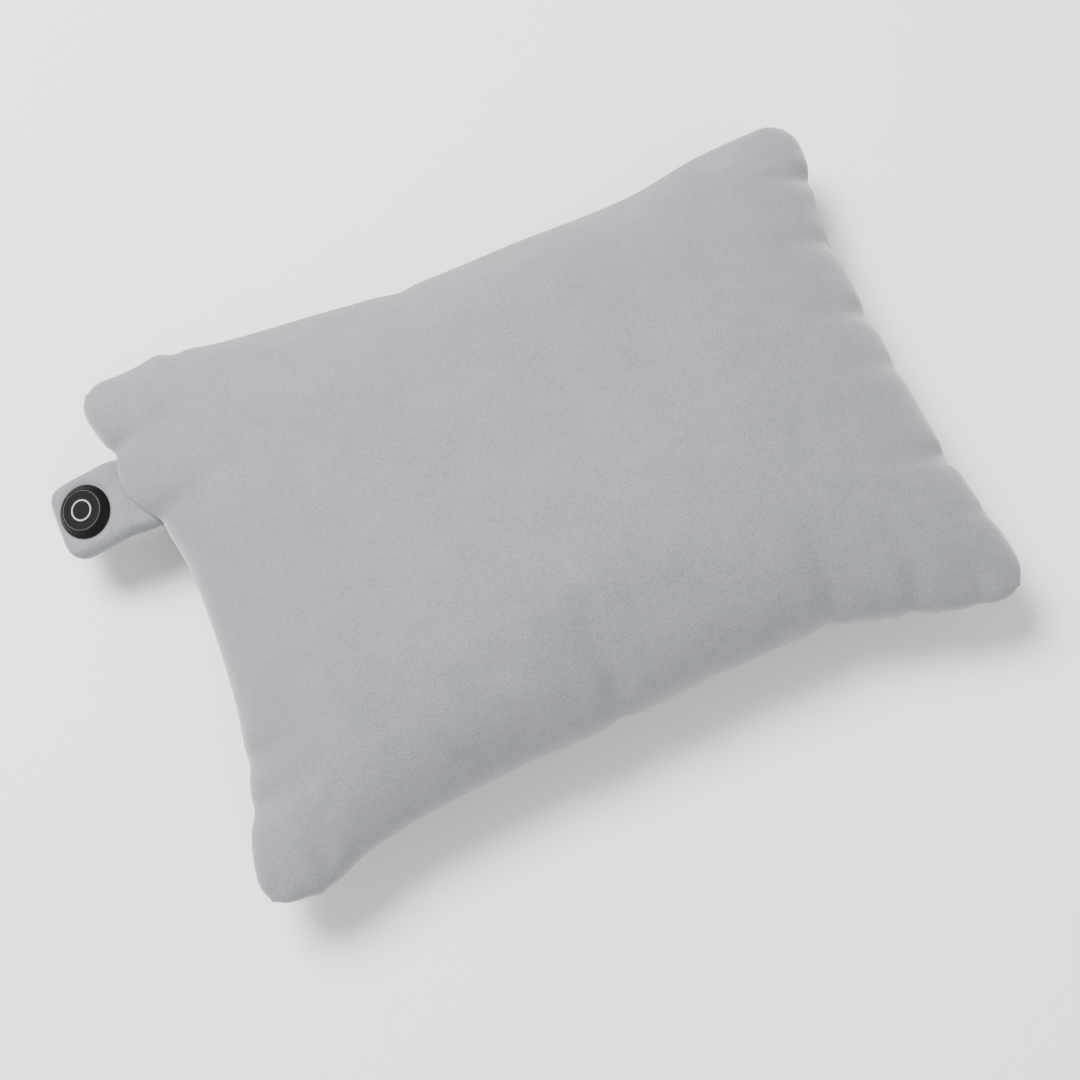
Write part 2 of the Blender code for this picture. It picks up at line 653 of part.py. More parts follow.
turned(
    "button_cap",
    [
        (0, CAP_TOP),
        (GROOVE_INNER, CAP_TOP),
        (GROOVE_INNER, GROOVE_FLOOR),
        (GROOVE_OUTER, GROOVE_FLOOR),
        (GROOVE_OUTER, CAP_TOP),
        (CAP_RADIUS, CAP_TOP),
        (CAP_RADIUS, FLANGE_TOP),
        (FLANGE_RADIUS, FLANGE_TOP),
        (FLANGE_RADIUS, FLANGE_BOTTOM),
        (CAP_WALL_RADIUS, FLANGE_BOTTOM),
        (CAP_WALL_RADIUS, CAP_CEILING),
        (PLUNGER_RADIUS, CAP_CEILING),
        (PLUNGER_RADIUS, PLUNGER_TOP + HARD_GAP),
        (0, PLUNGER_TOP + HARD_GAP),
    ],
    (BUTTON_X, 0),
    BLACK_PLASTIC,
    tab,
)
turned(
    "light_ring",
    [
        (RING_RADIUS + RING_WIDTH / 2, CAP_TOP),
        (RING_RADIUS + RING_WIDTH / 2, CAP_TOP - RING_DEPTH),
        (RING_RADIUS - RING_WIDTH / 2, CAP_TOP - RING_DEPTH),
        (RING_RADIUS - RING_WIDTH / 2, CAP_TOP),
    ],
    (BUTTON_X, 0),
    LIGHT_GUIDE,
    tab,
)
cylinder("switch_plunger", PLUNGER_RADIUS, PLUNGER_BOTTOM, PLUNGER_TOP, (BUTTON_X, 0), BLACK_PLASTIC, tab)
switch = box(
    "switch_body",
    (BUTTON_X - SWITCH_SIDE / 2, -SWITCH_SIDE / 2, SWITCH_BASE),
    (BUTTON_X + SWITCH_SIDE / 2, SWITCH_SIDE / 2, SWITCH_TOP),
    BLACK_PLASTIC,
    tab,
)
plunger_well = cylinder(
    "plunger_well", PLUNGER_RADIUS + CAP_CLEARANCE, PLUNGER_BOTTOM - PRESS_TRAVEL - CAP_CLEARANCE, CLEAR,
    (BUTTON_X, 0), parent=tab, cutter=True,
)
cut(plunger_well, switch)

FLOOR_TOP = HOUSING_BOTTOM + HOUSING_FLOOR
BOARD_BOTTOM = BOARD_TOP - BOARD_THICKNESS
housing = turned(
    "controller_housing",
    [
        (HOUSING_OUTER, HOUSING_TOP),
        (HOUSING_OUTER, HOUSING_BOTTOM),
        (0, HOUSING_BOTTOM),
        (0, FLOOR_TOP),
        (HOUSING_INNER, FLOOR_TOP),
        (HOUSING_INNER, HOUSING_TOP),
    ],
    (BUTTON_X, 0),
    BLACK_PLASTIC,
    tab,
)
board = cylinder(
    "control_board", NECK_RADIUS, BOARD_BOTTOM, BOARD_TOP, (BUTTON_X, 0), BOARD_GREEN, tab, facets=ROUND
)
for index, angle in enumerate((90, 210, 330), 1):
    place = arc((BUTTON_X, 0), SCREW_CIRCLE, angle, angle, 1)[0]
    post = cylinder("bezel_post_%d" % index, BOSS_RADIUS, BOARD_TOP + HARD_GAP, BOSS_TOP, place, None, tab, True)
    boolean(bezel, "UNION", post)
    stand = cylinder(
        "board_stand_%d" % index, BOSS_RADIUS, FLOOR_TOP - HARD_GAP, BOARD_BOTTOM - HARD_GAP, place, None, tab, True
    )
    boolean(housing, "UNION", stand)
    head_top = HOUSING_BOTTOM + SCREW_HEAD
    head_hole = cylinder(
        "head_hole_%d" % index, SCREW_HEAD_RADIUS + HARD_GAP, -CLEAR, head_top + HARD_GAP, place, None, tab, True
    )
    shank_hole = cylinder(
        "shank_hole_%d" % index, SCREW_RADIUS + HARD_GAP, -CLEAR, BOSS_TOP - 2 * SCREW_RADIUS, place, None, tab, True
    )
    cut(head_hole, housing)
    cut(shank_hole, housing, board, bezel)
    turned(
        "housing_screw_%d" % index,
        [
            (0, BOSS_TOP - 3 * SCREW_RADIUS),
            (SCREW_RADIUS, BOSS_TOP - 4 * SCREW_RADIUS),
            (SCREW_RADIUS, head_top),
            (SCREW_HEAD_RADIUS, head_top),
            (SCREW_HEAD_RADIUS, HOUSING_BOTTOM),
            (0, HOUSING_BOTTOM),
        ],
        place,
        STEEL,
        tab,
        facets=SMALL_ROUND,
    )

for index, angle in enumerate((45, 135, 225, 315), 1):
    across, along, height = LED_SIZE
    led = box(
        "led_%d" % index, (-along / 2, -across / 2, 0), (along / 2, across / 2, height), LIGHT_GUIDE, tab
    )
    place = arc((BUTTON_X, 0), RING_RADIUS + along, angle, angle, 1)[0]
    led.location = (*place, BOARD_TOP + HARD_GAP / 2 + height / 2)
    led.rotation_euler = (0, 0, math.radians(angle))

wall_hole = tube(
    "wall_hole",
    [(BUTTON_X + HOUSING_INNER - 2 * CABLE_RADIUS, 0, CABLE_HEIGHT), (BUTTON_X + CLEAR, 0, CABLE_HEIGHT)],
    GROMMET_RADIUS + HARD_GAP,
    parent=tab,
    cutter=True,
    sides=4,
)
cut(wall_hole, housing)
grommet = tube(
    "cable_grommet",
    [
        (BUTTON_X + HOUSING_INNER + HARD_GAP, 0, CABLE_HEIGHT),
        (BUTTON_X + HOUSING_OUTER + GROMMET_FLANGE, 0, CABLE_HEIGHT),
    ],
    GROMMET_RADIUS,
    CABLE_BLACK,
    tab,
    solid=True,
    sides=4,
)
grommet_bore = tube(
    "grommet_bore", [(BUTTON_X, 0, CABLE_HEIGHT), (BUTTON_X + CLEAR, 0, CABLE_HEIGHT)],
    CABLE_RADIUS + HARD_GAP, parent=tab, cutter=True, sides=4,
)
cut(grommet_bore, grommet)

# ------------------------------------------------------------------ where the seam holds the tab

STRIP_REACH = -END_SEAM + ROOT_DEPTH - TAB_HINGE_X
strip_mouth = arc((0, 0), ROOT_RADIUS + SOFT_GAP, -35, 35, 6)
strip_half = strip_mouth[-1][1]
strip = outline_solid(
    "tab_seam_strip",
    [(STRIP_REACH, -strip_half), (STRIP_REACH, strip_half), *reversed(strip_mouth)],
    TAB_WIDTH / 2 - TAB_WALL,
    PLUSH_GREY,
    upright=True,
)
strip.location = tab.location
seam_slot = sized_box(
    "seam_slot",
    tab.location,
    (2 * (STRIP_REACH + ROOT_DEPTH), TAB_WIDTH - 2 * TAB_WALL + 2 * SOFT_GAP, 2 * (strip_half + SOFT_GAP)),
    cutter=True,
)
cut(seam_slot, cover_top, cover_bottom, casing_top, casing_bottom, fill)
LEAD_SIDE = LEAD_RADIUS + SOFT_GAP / 2
strip_channel = sized_box(
    "strip_channel", tab.location, (CLEAR, 4 * LEAD_RADIUS + 3 * SOFT_GAP, 2 * (LEAD_RADIUS + SOFT_GAP)), cutter=True
)
cut(strip_channel, strip)

# ------------------------------------------------------------------ battery, its pocket and the leads

HALF = [size / 2 for size in BATTERY_SIZE]
BATTERY_CENTRE = Vector((BATTERY_CENTRE_X, BATTERY_OUTER_Y - HALF[1], SEAM_HEIGHT))
MOUTH_Y = BATTERY_OUTER_Y + PLUG_BODY[1] + 2 * POCKET_FABRIC


def around_battery(name, grow, outer_y, **more):
    """A block round the battery, grown by grow, that reaches out to outer_y."""
    low = BATTERY_CENTRE - Vector(HALF) - Vector((grow, grow, grow))
    high = BATTERY_CENTRE + Vector(HALF) + Vector((grow, 0, grow))
    return box(name, low, (high.x, outer_y, high.z), **more)


pocket_room = around_battery("pocket_room", SOFT_GAP, CLEAR, cutter=True)
pocket = around_battery("battery_pocket", SOFT_GAP + POCKET_FABRIC, MOUTH_Y, finish_material=CASING_WHITE)
cut(pocket_room, pocket)
pocket_hole = around_battery("pocket_hole", 2 * SOFT_GAP + POCKET_FABRIC, CLEAR, cutter=True)
cut(pocket_hole, fill, casing_top, casing_bottom)

case_room = sized_box(
    "case_room", BATTERY_CENTRE, [size - 2 * BATTERY_WALL for size in BATTERY_SIZE], cutter=True
)
port_size = Vector(SOCKET_SIZE)
port_centre = Vector((BATTERY_CENTRE.x, BATTERY_OUTER_Y - port_size.y / 2, SEAM_HEIGHT))
port_hole = sized_box("port_hole", port_centre, port_size + Vector((1, 2, 1)) * 2 * HARD_GAP, cutter=True)
for case_name, side in (("battery_case_base", -1), ("battery_case_lid", 1)):
    case = sized_box(case_name, BATTERY_CENTRE, BATTERY_SIZE, BLACK_PLASTIC)
    low, high = (SEAM_HEIGHT - CLEAR, SEAM_HEIGHT + HARD_GAP / 2) if side > 0 else (
        SEAM_HEIGHT - HARD_GAP / 2, SEAM_HEIGHT + CLEAR)
    other = box(case_name + "_cut", (-2 * CLEAR, -CLEAR, low), (2 * CLEAR, CLEAR, high), cutter=True)
    cut(case_room, case)
    cut(port_hole, case)
    cut(other, case)
for cell_name, side in (("battery_cell_left", -1), ("battery_cell_right", 1)):
    centre = BATTERY_CENTRE + Vector((
        side * (CELL_SIZE[0] / 2 + SOFT_GAP),
        -(HALF[1] - BATTERY_WALL - HARD_GAP - CELL_SIZE[1] / 2),
        -(HALF[2] - BATTERY_WALL - HARD_GAP - CELL_SIZE[2] / 2),
    ))
    sized_box(cell_name, centre, CELL_SIZE, CELL_SILVER)
board_low = BATTERY_CENTRE.y - HALF[1] + BATTERY_WALL + HARD_GAP + CELL_SIZE[1] + SOFT_GAP
box(
    "battery_board",
    (BATTERY_CENTRE.x - CELL_SIZE[0], board_low, SEAM_HEIGHT - port_size.z / 2 - HARD_GAP - 2 * BOARD_THICKNESS),
    (BATTERY_CENTRE.x + CELL_SIZE[0], BATTERY_OUTER_Y - BATTERY_WALL - HARD_GAP,
     SEAM_HEIGHT - port_size.z / 2 - HARD_GAP),
    BOARD_GREEN,
)
socket = sized_box("battery_socket", port_centre, port_size, STEEL)
socket_room = sized_box(
    "socket_room",
    (port_centre.x, BATTERY_OUTER_Y, SEAM_HEIGHT),
    (PLUG_TONGUE[0] + 4 * HARD_GAP, 2 * (PLUG_TONGUE[1] + SOFT_GAP), PLUG_TONGUE[2] + 4 * HARD_GAP),
    cutter=True,
)
cut(socket_room, socket)
plug_low = BATTERY_OUTER_Y + SOFT_GAP
plug = sized_box(
    "battery_plug",
    (BATTERY_CENTRE.x, plug_low + PLUG_BODY[1] / 2, SEAM_HEIGHT),
    PLUG_BODY,
    BLACK_PLASTIC,
)
tongue = box(
    "plug_tongue",
    (BATTERY_CENTRE.x - PLUG_TONGUE[0] / 2, BATTERY_OUTER_Y - PLUG_TONGUE[1], SEAM_HEIGHT - PLUG_TONGUE[2] / 2),
    (BATTERY_CENTRE.x + PLUG_TONGUE[0] / 2, plug_low + PLUG_BODY[1] / 2, SEAM_HEIGHT + PLUG_TONGUE[2] / 2),
    cutter=True,
)
boolean(plug, "UNION", tongue)

LEAD_DEPTH = (PLUSH + CASING_TOP_DEPTH) / 2
LEAD_START = TAB_HINGE_X + ROOT_RADIUS + 2 * SOFT_GAP


def lead_along(side, plan):
    """A lead's points, from the tab's strip and then under the cover through the plan's (x, y) places."""
    y = TAB_CENTRE_Y + side * LEAD_SIDE
    start = [Vector((x, y, SEAM_HEIGHT)) for x in (LEAD_START, TAB_HINGE_X + STRIP_REACH)]
    return [*start, *(under_crown(px, py, LEAD_DEPTH) for px, py in plan)]


PAD_CELLS = [v.co for v in UPPER.vertices if on_pad(v.co)]
PAD_EDGE = min(place.x for place in PAD_CELLS)
entry = -END_SEAM + 2 * ROOT_DEPTH
slit_half = 2 * (LEAD_RADIUS + SOFT_GAP)
root_slit = box(
    "root_slit",
    (TAB_HINGE_X, TAB_CENTRE_Y - slit_half, SEAM_HEIGHT),
    (entry + LEAD_RADIUS, TAB_CENTRE_Y + slit_half, CLEAR),
    cutter=True,
)
cut(root_slit, fill, casing_top)
heater_plan = [
    (entry + (PAD_EDGE - entry) * t, TAB_CENTRE_Y - LEAD_SIDE - HEATER_LEAD_TURN * t)
    for t in (step / LEAD_STEPS for step in range(LEAD_STEPS))
]
tube("heater_lead", lead_along(-1, heater_plan), LEAD_RADIUS, CABLE_BLACK)
lead_turn = SIDE_PULL_IN + TAB_CORNER
side_y = seam_offset(0, 1, 1, BATTERY_CENTRE_X) - lead_turn / 2
battery_plan = [
    (entry + (BATTERY_CENTRE_X - entry) * t, TAB_CENTRE_Y + LEAD_SIDE + (side_y - TAB_CENTRE_Y - LEAD_SIDE) * t ** 0.8)
    for t in (step / LEAD_STEPS for step in range(LEAD_STEPS + 1))
]
plug_end = plug_low + PLUG_BODY[1] + HARD_GAP
lead_slit = box(
    "lead_slit",
    (BATTERY_CENTRE_X - 2 * LEAD_RADIUS, plug_end, SEAM_HEIGHT),
    (BATTERY_CENTRE_X + 2 * LEAD_RADIUS, CLEAR, CLEAR),
    cutter=True,
)
cut(lead_slit, fill, casing_top)
lead_path = lead_along(1, battery_plan)
lead_path += smooth_path(
    [
        lead_path[-1],
        (BATTERY_CENTRE_X, side_y + LEAD_DEPTH, SEAM_HEIGHT + HALF[2] / 2),
        (BATTERY_CENTRE_X, plug_end, SEAM_HEIGHT),
    ],
    4,
)[1:]
tube("battery_lead", lead_path, LEAD_RADIUS, CABLE_BLACK)

# ------------------------------------------------------------------ zip
# Across the zip, out is +Y. The two coils close against each other at the seam's height.

ZIP_SEAM = seam_offset(0, 1, 1, 0.0)
COIL_FRONT = ZIP_SEAM - ZIP_SINK
COIL_BACK = COIL_FRONT - COIL_THICKNESS
TAPE_FRONT = COIL_BACK - HARD_GAP
TAPE_BACK = TAPE_FRONT - TAPE_THICKNESS
PLATE_BACK = TAPE_BACK - SOFT_GAP - SLIDER_PLATE
zip_slot = box(
    "zip_slot",
    (-ZIP_HALF_LENGTH, PLATE_BACK - SOFT_GAP, SEAM_HEIGHT - ZIP_SLOT_HALF_HEIGHT),
    (ZIP_HALF_LENGTH, CLEAR, SEAM_HEIGHT + ZIP_SLOT_HALF_HEIGHT),
    cutter=True,
)
cut(zip_slot, cover_top, cover_bottom, casing_top, casing_bottom, fill, pocket)
COIL_END = ZIP_HALF_LENGTH - SOFT_GAP - STOP_LENGTH - HARD_GAP
for part, side in (("upper", 1), ("lower", -1)):
    heights = sorted(SEAM_HEIGHT + side * rise for rise in (COIL_INNER, COIL_OUTER))
    box(
        "zip_coil_" + part, (-COIL_END, COIL_BACK, heights[0]), (COIL_END, COIL_FRONT, heights[1]), ZIP_GREY
    )
    heights = sorted(SEAM_HEIGHT + side * rise for rise in (COIL_INNER, ZIP_SLOT_HALF_HEIGHT - SOFT_GAP))
    box(
        "zip_tape_" + part,
        (-ZIP_HALF_LENGTH + SOFT_GAP, TAPE_BACK, heights[0]),
        (ZIP_HALF_LENGTH - SOFT_GAP, TAPE_FRONT, heights[1]),
        ZIP_GREY,
    )
for stop_name, side in (("zip_top_stop", 1), ("zip_bottom_stop", -1)):
    ends = sorted(side * (COIL_END + HARD_GAP + reach) for reach in (0, STOP_LENGTH))
    box(
        stop_name,
        (ends[0], COIL_BACK, SEAM_HEIGHT - COIL_OUTER),
        (ends[1], COIL_FRONT + HARD_GAP, SEAM_HEIGHT + COIL_OUTER),
        ZIP_METAL,
    )

SLIDER_X = COIL_END - STOP_CLEARANCE - SLIDER_LENGTH / 2
PLATE_FRONT = COIL_FRONT + SOFT_GAP + SLIDER_PLATE
slider = box(
    "zip_slider",
    (SLIDER_X - SLIDER_LENGTH / 2, PLATE_BACK, SEAM_HEIGHT - SLIDER_HALF_HEIGHT),
    (SLIDER_X + SLIDER_LENGTH / 2, PLATE_FRONT, SEAM_HEIGHT + SLIDER_HALF_HEIGHT),
    ZIP_METAL,
)
for part, side in (("upper", 1), ("lower", -1)):
    for space, reach, front in (
        ("coil_room_", COIL_OUTER + SOFT_GAP, COIL_FRONT + SOFT_GAP),
        ("tape_room_", 2 * SLIDER_HALF_HEIGHT, TAPE_FRONT + SOFT_GAP),
    ):
        heights = sorted(SEAM_HEIGHT + side * rise for rise in (SLIDER_WEB, reach))
        room = box(
            space + part, (-CLEAR, TAPE_BACK - SOFT_GAP, heights[0]), (CLEAR, front, heights[1]), cutter=True
        )
        cut(room, slider)
BRIDGE_TOP = PLATE_FRONT + BRIDGE_RISE + BRIDGE_BAR
bridge = box(
    "slider_bridge",
    (SLIDER_X - BRIDGE_LENGTH / 2, PLATE_FRONT - SLIDER_PLATE / 2, SEAM_HEIGHT - BRIDGE_HALF_WIDTH),
    (SLIDER_X + BRIDGE_LENGTH / 2, BRIDGE_TOP, SEAM_HEIGHT + BRIDGE_HALF_WIDTH),
    cutter=True,
)
under_bridge = box(
    "under_bridge",
    (SLIDER_X - BRIDGE_LENGTH / 2 + BRIDGE_BAR, PLATE_FRONT, SEAM_HEIGHT - SLIDER_HALF_HEIGHT),
    (SLIDER_X + BRIDGE_LENGTH / 2 - BRIDGE_BAR, PLATE_FRONT + BRIDGE_RISE, SEAM_HEIGHT + SLIDER_HALF_HEIGHT),
    cutter=True,
)
boolean(slider, "UNION", bridge)
cut(under_bridge, slider)

puller_pivot = bpy.data.objects.new("puller_pivot", None)
puller_pivot.location = (SLIDER_X, PLATE_FRONT + BRIDGE_RISE / 2, SEAM_HEIGHT)
PIECES.objects.link(puller_pivot)
half_bar = PULLER_THICKNESS / 2
puller = box(
    "zip_puller",
    (-half_bar, -half_bar, -PULLER_HALF_HEIGHT),
    (PULLER_LENGTH, half_bar, PULLER_HALF_HEIGHT),
    ZIP_METAL,
    puller_pivot,
)
eye_half = BRIDGE_HALF_WIDTH + SOFT_GAP
eye = box(
    "puller_eye",
    (half_bar, -CLEAR, -eye_half),
    (half_bar + PULLER_EYE_LENGTH, CLEAR, eye_half),
    parent=puller_pivot,
    cutter=True,
)
cut(eye, puller)
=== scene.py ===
"""Looks of a battery-heated camp pillow: grey plush cover, control tab with a round push button, and a zip.

Everything is in the CAD part's frame: metres, +X away from the tab, +Y towards the zip, +Z up, ground at 0.
Numbers that describe a shape are mostly written in mm and multiplied by MM.
"""

import math

import bmesh
import bpy
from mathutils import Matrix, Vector


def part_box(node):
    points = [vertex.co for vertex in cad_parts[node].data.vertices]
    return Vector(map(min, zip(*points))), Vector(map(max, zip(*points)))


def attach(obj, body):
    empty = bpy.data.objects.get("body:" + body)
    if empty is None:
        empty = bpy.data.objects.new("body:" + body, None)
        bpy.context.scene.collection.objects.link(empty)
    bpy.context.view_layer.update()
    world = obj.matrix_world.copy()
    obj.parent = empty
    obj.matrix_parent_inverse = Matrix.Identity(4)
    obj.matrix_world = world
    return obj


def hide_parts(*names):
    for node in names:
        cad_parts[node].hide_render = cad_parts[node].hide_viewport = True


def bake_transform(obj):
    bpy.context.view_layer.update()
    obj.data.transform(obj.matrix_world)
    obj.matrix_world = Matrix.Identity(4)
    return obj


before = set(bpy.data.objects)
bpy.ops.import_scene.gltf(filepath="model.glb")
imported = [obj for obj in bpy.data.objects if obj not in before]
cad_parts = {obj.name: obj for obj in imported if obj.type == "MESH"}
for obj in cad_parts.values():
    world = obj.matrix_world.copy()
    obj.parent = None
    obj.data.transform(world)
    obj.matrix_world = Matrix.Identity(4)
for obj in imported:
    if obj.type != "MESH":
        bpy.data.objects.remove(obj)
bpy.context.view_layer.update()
MM = 0.001

# ---------------------------------------------------------------- plush cloth
# Short-pile grey polyester plush, knitted and brushed, for the cover and the tab's sleeve. Its nap lies in
# soft patches that catch the light differently, hair tips speckle it, and it glows where it turns away.

MIX_DARK, MIX_LIGHT, MIX_RESULT = 6, 7, 2  # the colour sockets of a Mix node


def node_group(name, inputs, outputs):
    """An empty shader group, its input and its output node."""
    tree = bpy.data.node_groups.new(name, "ShaderNodeTree")
    for socket, kind in inputs:
        tree.interface.new_socket(socket, in_out="INPUT", socket_type=kind)
    for socket, kind in outputs:
        tree.interface.new_socket(socket, in_out="OUTPUT", socket_type=kind)
    return tree, tree.nodes.new("NodeGroupInput"), tree.nodes.new("NodeGroupOutput")


def noise_node(tree, vector, scale, detail=2.0, roughness=0.5):
    """The 0 to 1 output of a noise texture whose features are about 1/scale metres across."""
    texture = tree.nodes.new("ShaderNodeTexNoise")
    texture.inputs["Scale"].default_value = scale
    texture.inputs["Detail"].default_value = detail
    texture.inputs["Roughness"].default_value = roughness
    tree.links.new(vector, texture.inputs["Vector"])
    return texture.outputs["Fac"]


def spread(tree, value, low, high, to_low, to_high):
    """Maps value from low..high to to_low..to_high, clamped."""
    mapped = tree.nodes.new("ShaderNodeMapRange")
    limits = {"From Min": low, "From Max": high, "To Min": to_low, "To Max": to_high}
    for socket, number in limits.items():
        mapped.inputs[socket].default_value = number
    tree.links.new(value, mapped.inputs["Value"])
    return mapped.outputs["Result"]


def arithmetic(tree, operation, first, second):
    """first (operation) second, where each is a socket or a number."""
    made = tree.nodes.new("ShaderNodeMath")
    made.operation = operation
    for socket, value in zip(made.inputs, (first, second)):
        if isinstance(value, (int, float)):
            socket.default_value = value
        else:
            tree.links.new(value, socket)
    return made.outputs["Value"]


def mix_tones(tree, factor, group_in, group_out):
    """Makes a group's Color from its Dark and Light inputs, mixed by factor."""
    mix = tree.nodes.new("ShaderNodeMix")
    mix.data_type = "RGBA"
    tree.links.new(factor, mix.inputs["Factor"])
    tree.links.new(group_in.outputs["Dark"], mix.inputs[MIX_DARK])
    tree.links.new(group_in.outputs["Light"], mix.inputs[MIX_LIGHT])
    tree.links.new(mix.outputs[MIX_RESULT], group_out.inputs["Color"])


def principled(name, colour, roughness, metallic=0.0, **others):
    """A material, its tree and its Principled shader. others are more sockets, with _ for a space."""
    made = bpy.data.materials.new(name)
    made.use_nodes = True
    shader = made.node_tree.nodes["Principled BSDF"]
    shader.inputs["Base Color"].default_value = (*colour, 1)
    shader.inputs["Roughness"].default_value = roughness
    shader.inputs["Metallic"].default_value = metallic
    for socket, value in others.items():
        shader.inputs[socket.replace("_", " ")].default_value = value
    return made, made.node_tree, shader


def add_effect(tree, shader, group, links, settings=()):
    """Puts a group in a material. links maps its outputs to sockets, and Height to a bump's strength."""
    coordinates = tree.nodes.get("place") or tree.nodes.new("ShaderNodeTexCoord")
    coordinates.name = "place"
    effect = tree.nodes.new("ShaderNodeGroup")
    effect.node_tree = group
    tree.links.new(coordinates.outputs["Object"], effect.inputs["Place"])
    for socket, value in settings:
        effect.inputs[socket].default_value = value
    for output, target in links.items():
        if output == "Height":
            bump = tree.nodes.new("ShaderNodeBump")
            bump.inputs["Strength"].default_value = target
            bump.inputs["Distance"].default_value = MM
            tree.links.new(effect.outputs[output], bump.inputs["Height"])
            tree.links.new(bump.outputs["Normal"], shader.inputs["Normal"])
        else:
            tree.links.new(effect.outputs[output], shader.inputs[target])
    return effect


nap, nap_in, nap_out = node_group(
    "plush_nap",
    [("Place", "NodeSocketVector"), ("Light", "NodeSocketColor"), ("Dark", "NodeSocketColor")],
    [("Color", "NodeSocketColor"), ("Roughness", "NodeSocketFloat"), ("Height", "NodeSocketFloat")],
)
place = nap_in.outputs["Place"]
# Patches about 45 mm across, strokes 13 mm, tufts 1.2 mm and hair tips 0.7 mm.
patches = noise_node(nap, place, 22, 3, 0.55)
strokes = noise_node(nap, place, 75, 3, 0.6)
tufts = noise_node(nap, place, 850, 2, 0.6)
tips = noise_node(nap, place, 1500, 1, 0.5)
broad = arithmetic(
    nap, "ADD", spread(nap, patches, 0.3, 0.7, 0.0, 0.2), spread(nap, strokes, 0.3, 0.7, 0.0, 0.18)
)
speckle = arithmetic(
    nap, "ADD", spread(nap, tufts, 0.38, 0.62, 0.0, 0.34), spread(nap, tips, 0.38, 0.62, 0.0, 0.28)
)
mix_tones(nap, arithmetic(nap, "ADD", broad, speckle), nap_in, nap_out)
nap.links.new(spread(nap, strokes, 0.3, 0.7, 0.86, 1.0), nap_out.inputs["Roughness"])
lay = arithmetic(
    nap, "ADD", spread(nap, strokes, 0.2, 0.8, 0.0, 0.5), spread(nap, tufts, 0.2, 0.8, 0.0, 0.35)
)
relief = arithmetic(nap, "ADD", lay, spread(nap, tips, 0.2, 0.8, 0.0, 0.28))
nap.links.new(relief, nap_out.inputs["Height"])


def plush_material(name, light, dark):
    """Plush whose nap varies between two colours."""
    made, tree, shader = principled(name, light, 0.95, Sheen_Weight=0.55, Sheen_Roughness=0.45)
    shader.inputs["Sheen Tint"].default_value = (0.94, 0.96, 1.0, 1)
    shader.inputs["Specular IOR Level"].default_value = 0.12
    add_effect(
        tree, shader, nap, {"Color": "Base Color", "Roughness": "Roughness", "Height": 0.55},
        [("Light", (*light, 1)), ("Dark", (*dark, 1))],
    )
    return made


PLUSH = plush_material("plush", (0.281, 0.291, 0.314), (0.172, 0.181, 0.201))


def activate(*objs):
    """Selects only these objects and makes the first one active."""
    bpy.ops.object.select_all(action="DESELECT")
    for obj in objs:
        obj.select_set(True)
    bpy.context.view_layer.objects.active = objs[0]


def apply_modifiers(obj):
    """Applies every modifier in turn, and leaves the object selected and active."""
    activate(obj)
    for modifier in list(obj.modifiers):
        bpy.ops.object.modifier_apply(modifier=modifier.name)


def smoothstep(low, high, value):
    """0 below low, 1 above high, and a smooth rise between."""
    t = min(1.0, max(0.0, (value - low) / (high - low)))
    return t * t * (3 - 2 * t)


# ---------------------------------------------------------------- cover
# Two plush panels sewn together round the edge, turned and stuffed. The seam is gathered, so it pulls in
# between the corner lobes and puckers here and there. A cloth simulation then inflates the two panels.

SEAM_Z = 46 * MM
CROWN, BELLY = 60 * MM, 58 * MM  # how far the panels stand off the seam, before the belly rests on the ground
REST_SOFTNESS = 2.2 * MM  # how gently the belly bends where it leaves the ground
CELLS_X, CELLS_Y = 96, 68
TIP_X, TIP_Y = 214.6 * MM, 151.6 * MM  # half the length and half the width over the corner tips
LOBE_RADIUS = 20 * MM
PLUMPNESS = 0.52  # lower rises more steeply from the seam
PULL_IN_FADE = 1.6  # how fast the seam's draw fades towards the middle
ON_SEAM = 0.2 * MM  # what lies nearer the seam's height than this is on the seam

# How far the seam lies inside the line of the corner tips: (place along the edge, drawn in), in mm.
EDGES = {
    "far_side": [(-215, -1.5), (-178, -3), (-132, 7.5), (-75, 14), (-30, 18.5), (40, 17), (105, 15.5),
                 (150, 7.5), (190, 4), (215, 3)],
    "near_side": [(-215, -2), (-185, -1.5), (-155, 11), (-95, 19), (-20, 21.5), (45, 24.5), (110, 24.5),
                  (150, 13.5), (185, 4), (215, 1)],
    "far_end": [(-152, 3), (-126, 3), (-88, 8.5), (-50, 12.5), (30, 14.5), (85, 13), (115, 5), (152, 2)],
    "tab_end": [(-152, 3), (-120, 7.5), (-88, 18), (-40, 26.5), (25, 29), (60, 24), (80, 17), (103, 13.5),
                (128, 7), (152, 4.5)],
}
# Puckers: (place along the edge, how far the seam is drawn in, half width), in mm.
PUCKERS = {
    "far_side": [(-155, 2.0, 6), (-30, 1.2, 8)],
    "near_side": [(-178, 3.0, 5), (-62, 0.8, 8), (-11, 2.4, 6), (46, 0.8, 8), (107, 2.4, 6), (151, 2.6, 5),
                  (184, 1.8, 5)],
    "far_end": [(108, 3.0, 5), (65, 1.6, 6), (20, 2.2, 7), (-13, 1.2, 6), (-69, 2.6, 6), (-104, 1.0, 6)],
    "tab_end": [(106, 2.4, 5), (61, 2.4, 4), (-77, 1.8, 6), (-100, 2.4, 5)],
}
CREASE_REACH = 22 * MM  # how far a pucker's crease runs in from the seam
CREASE_DEPTH = 1.7  # how deep it is, as a share of how far the seam is drawn in there


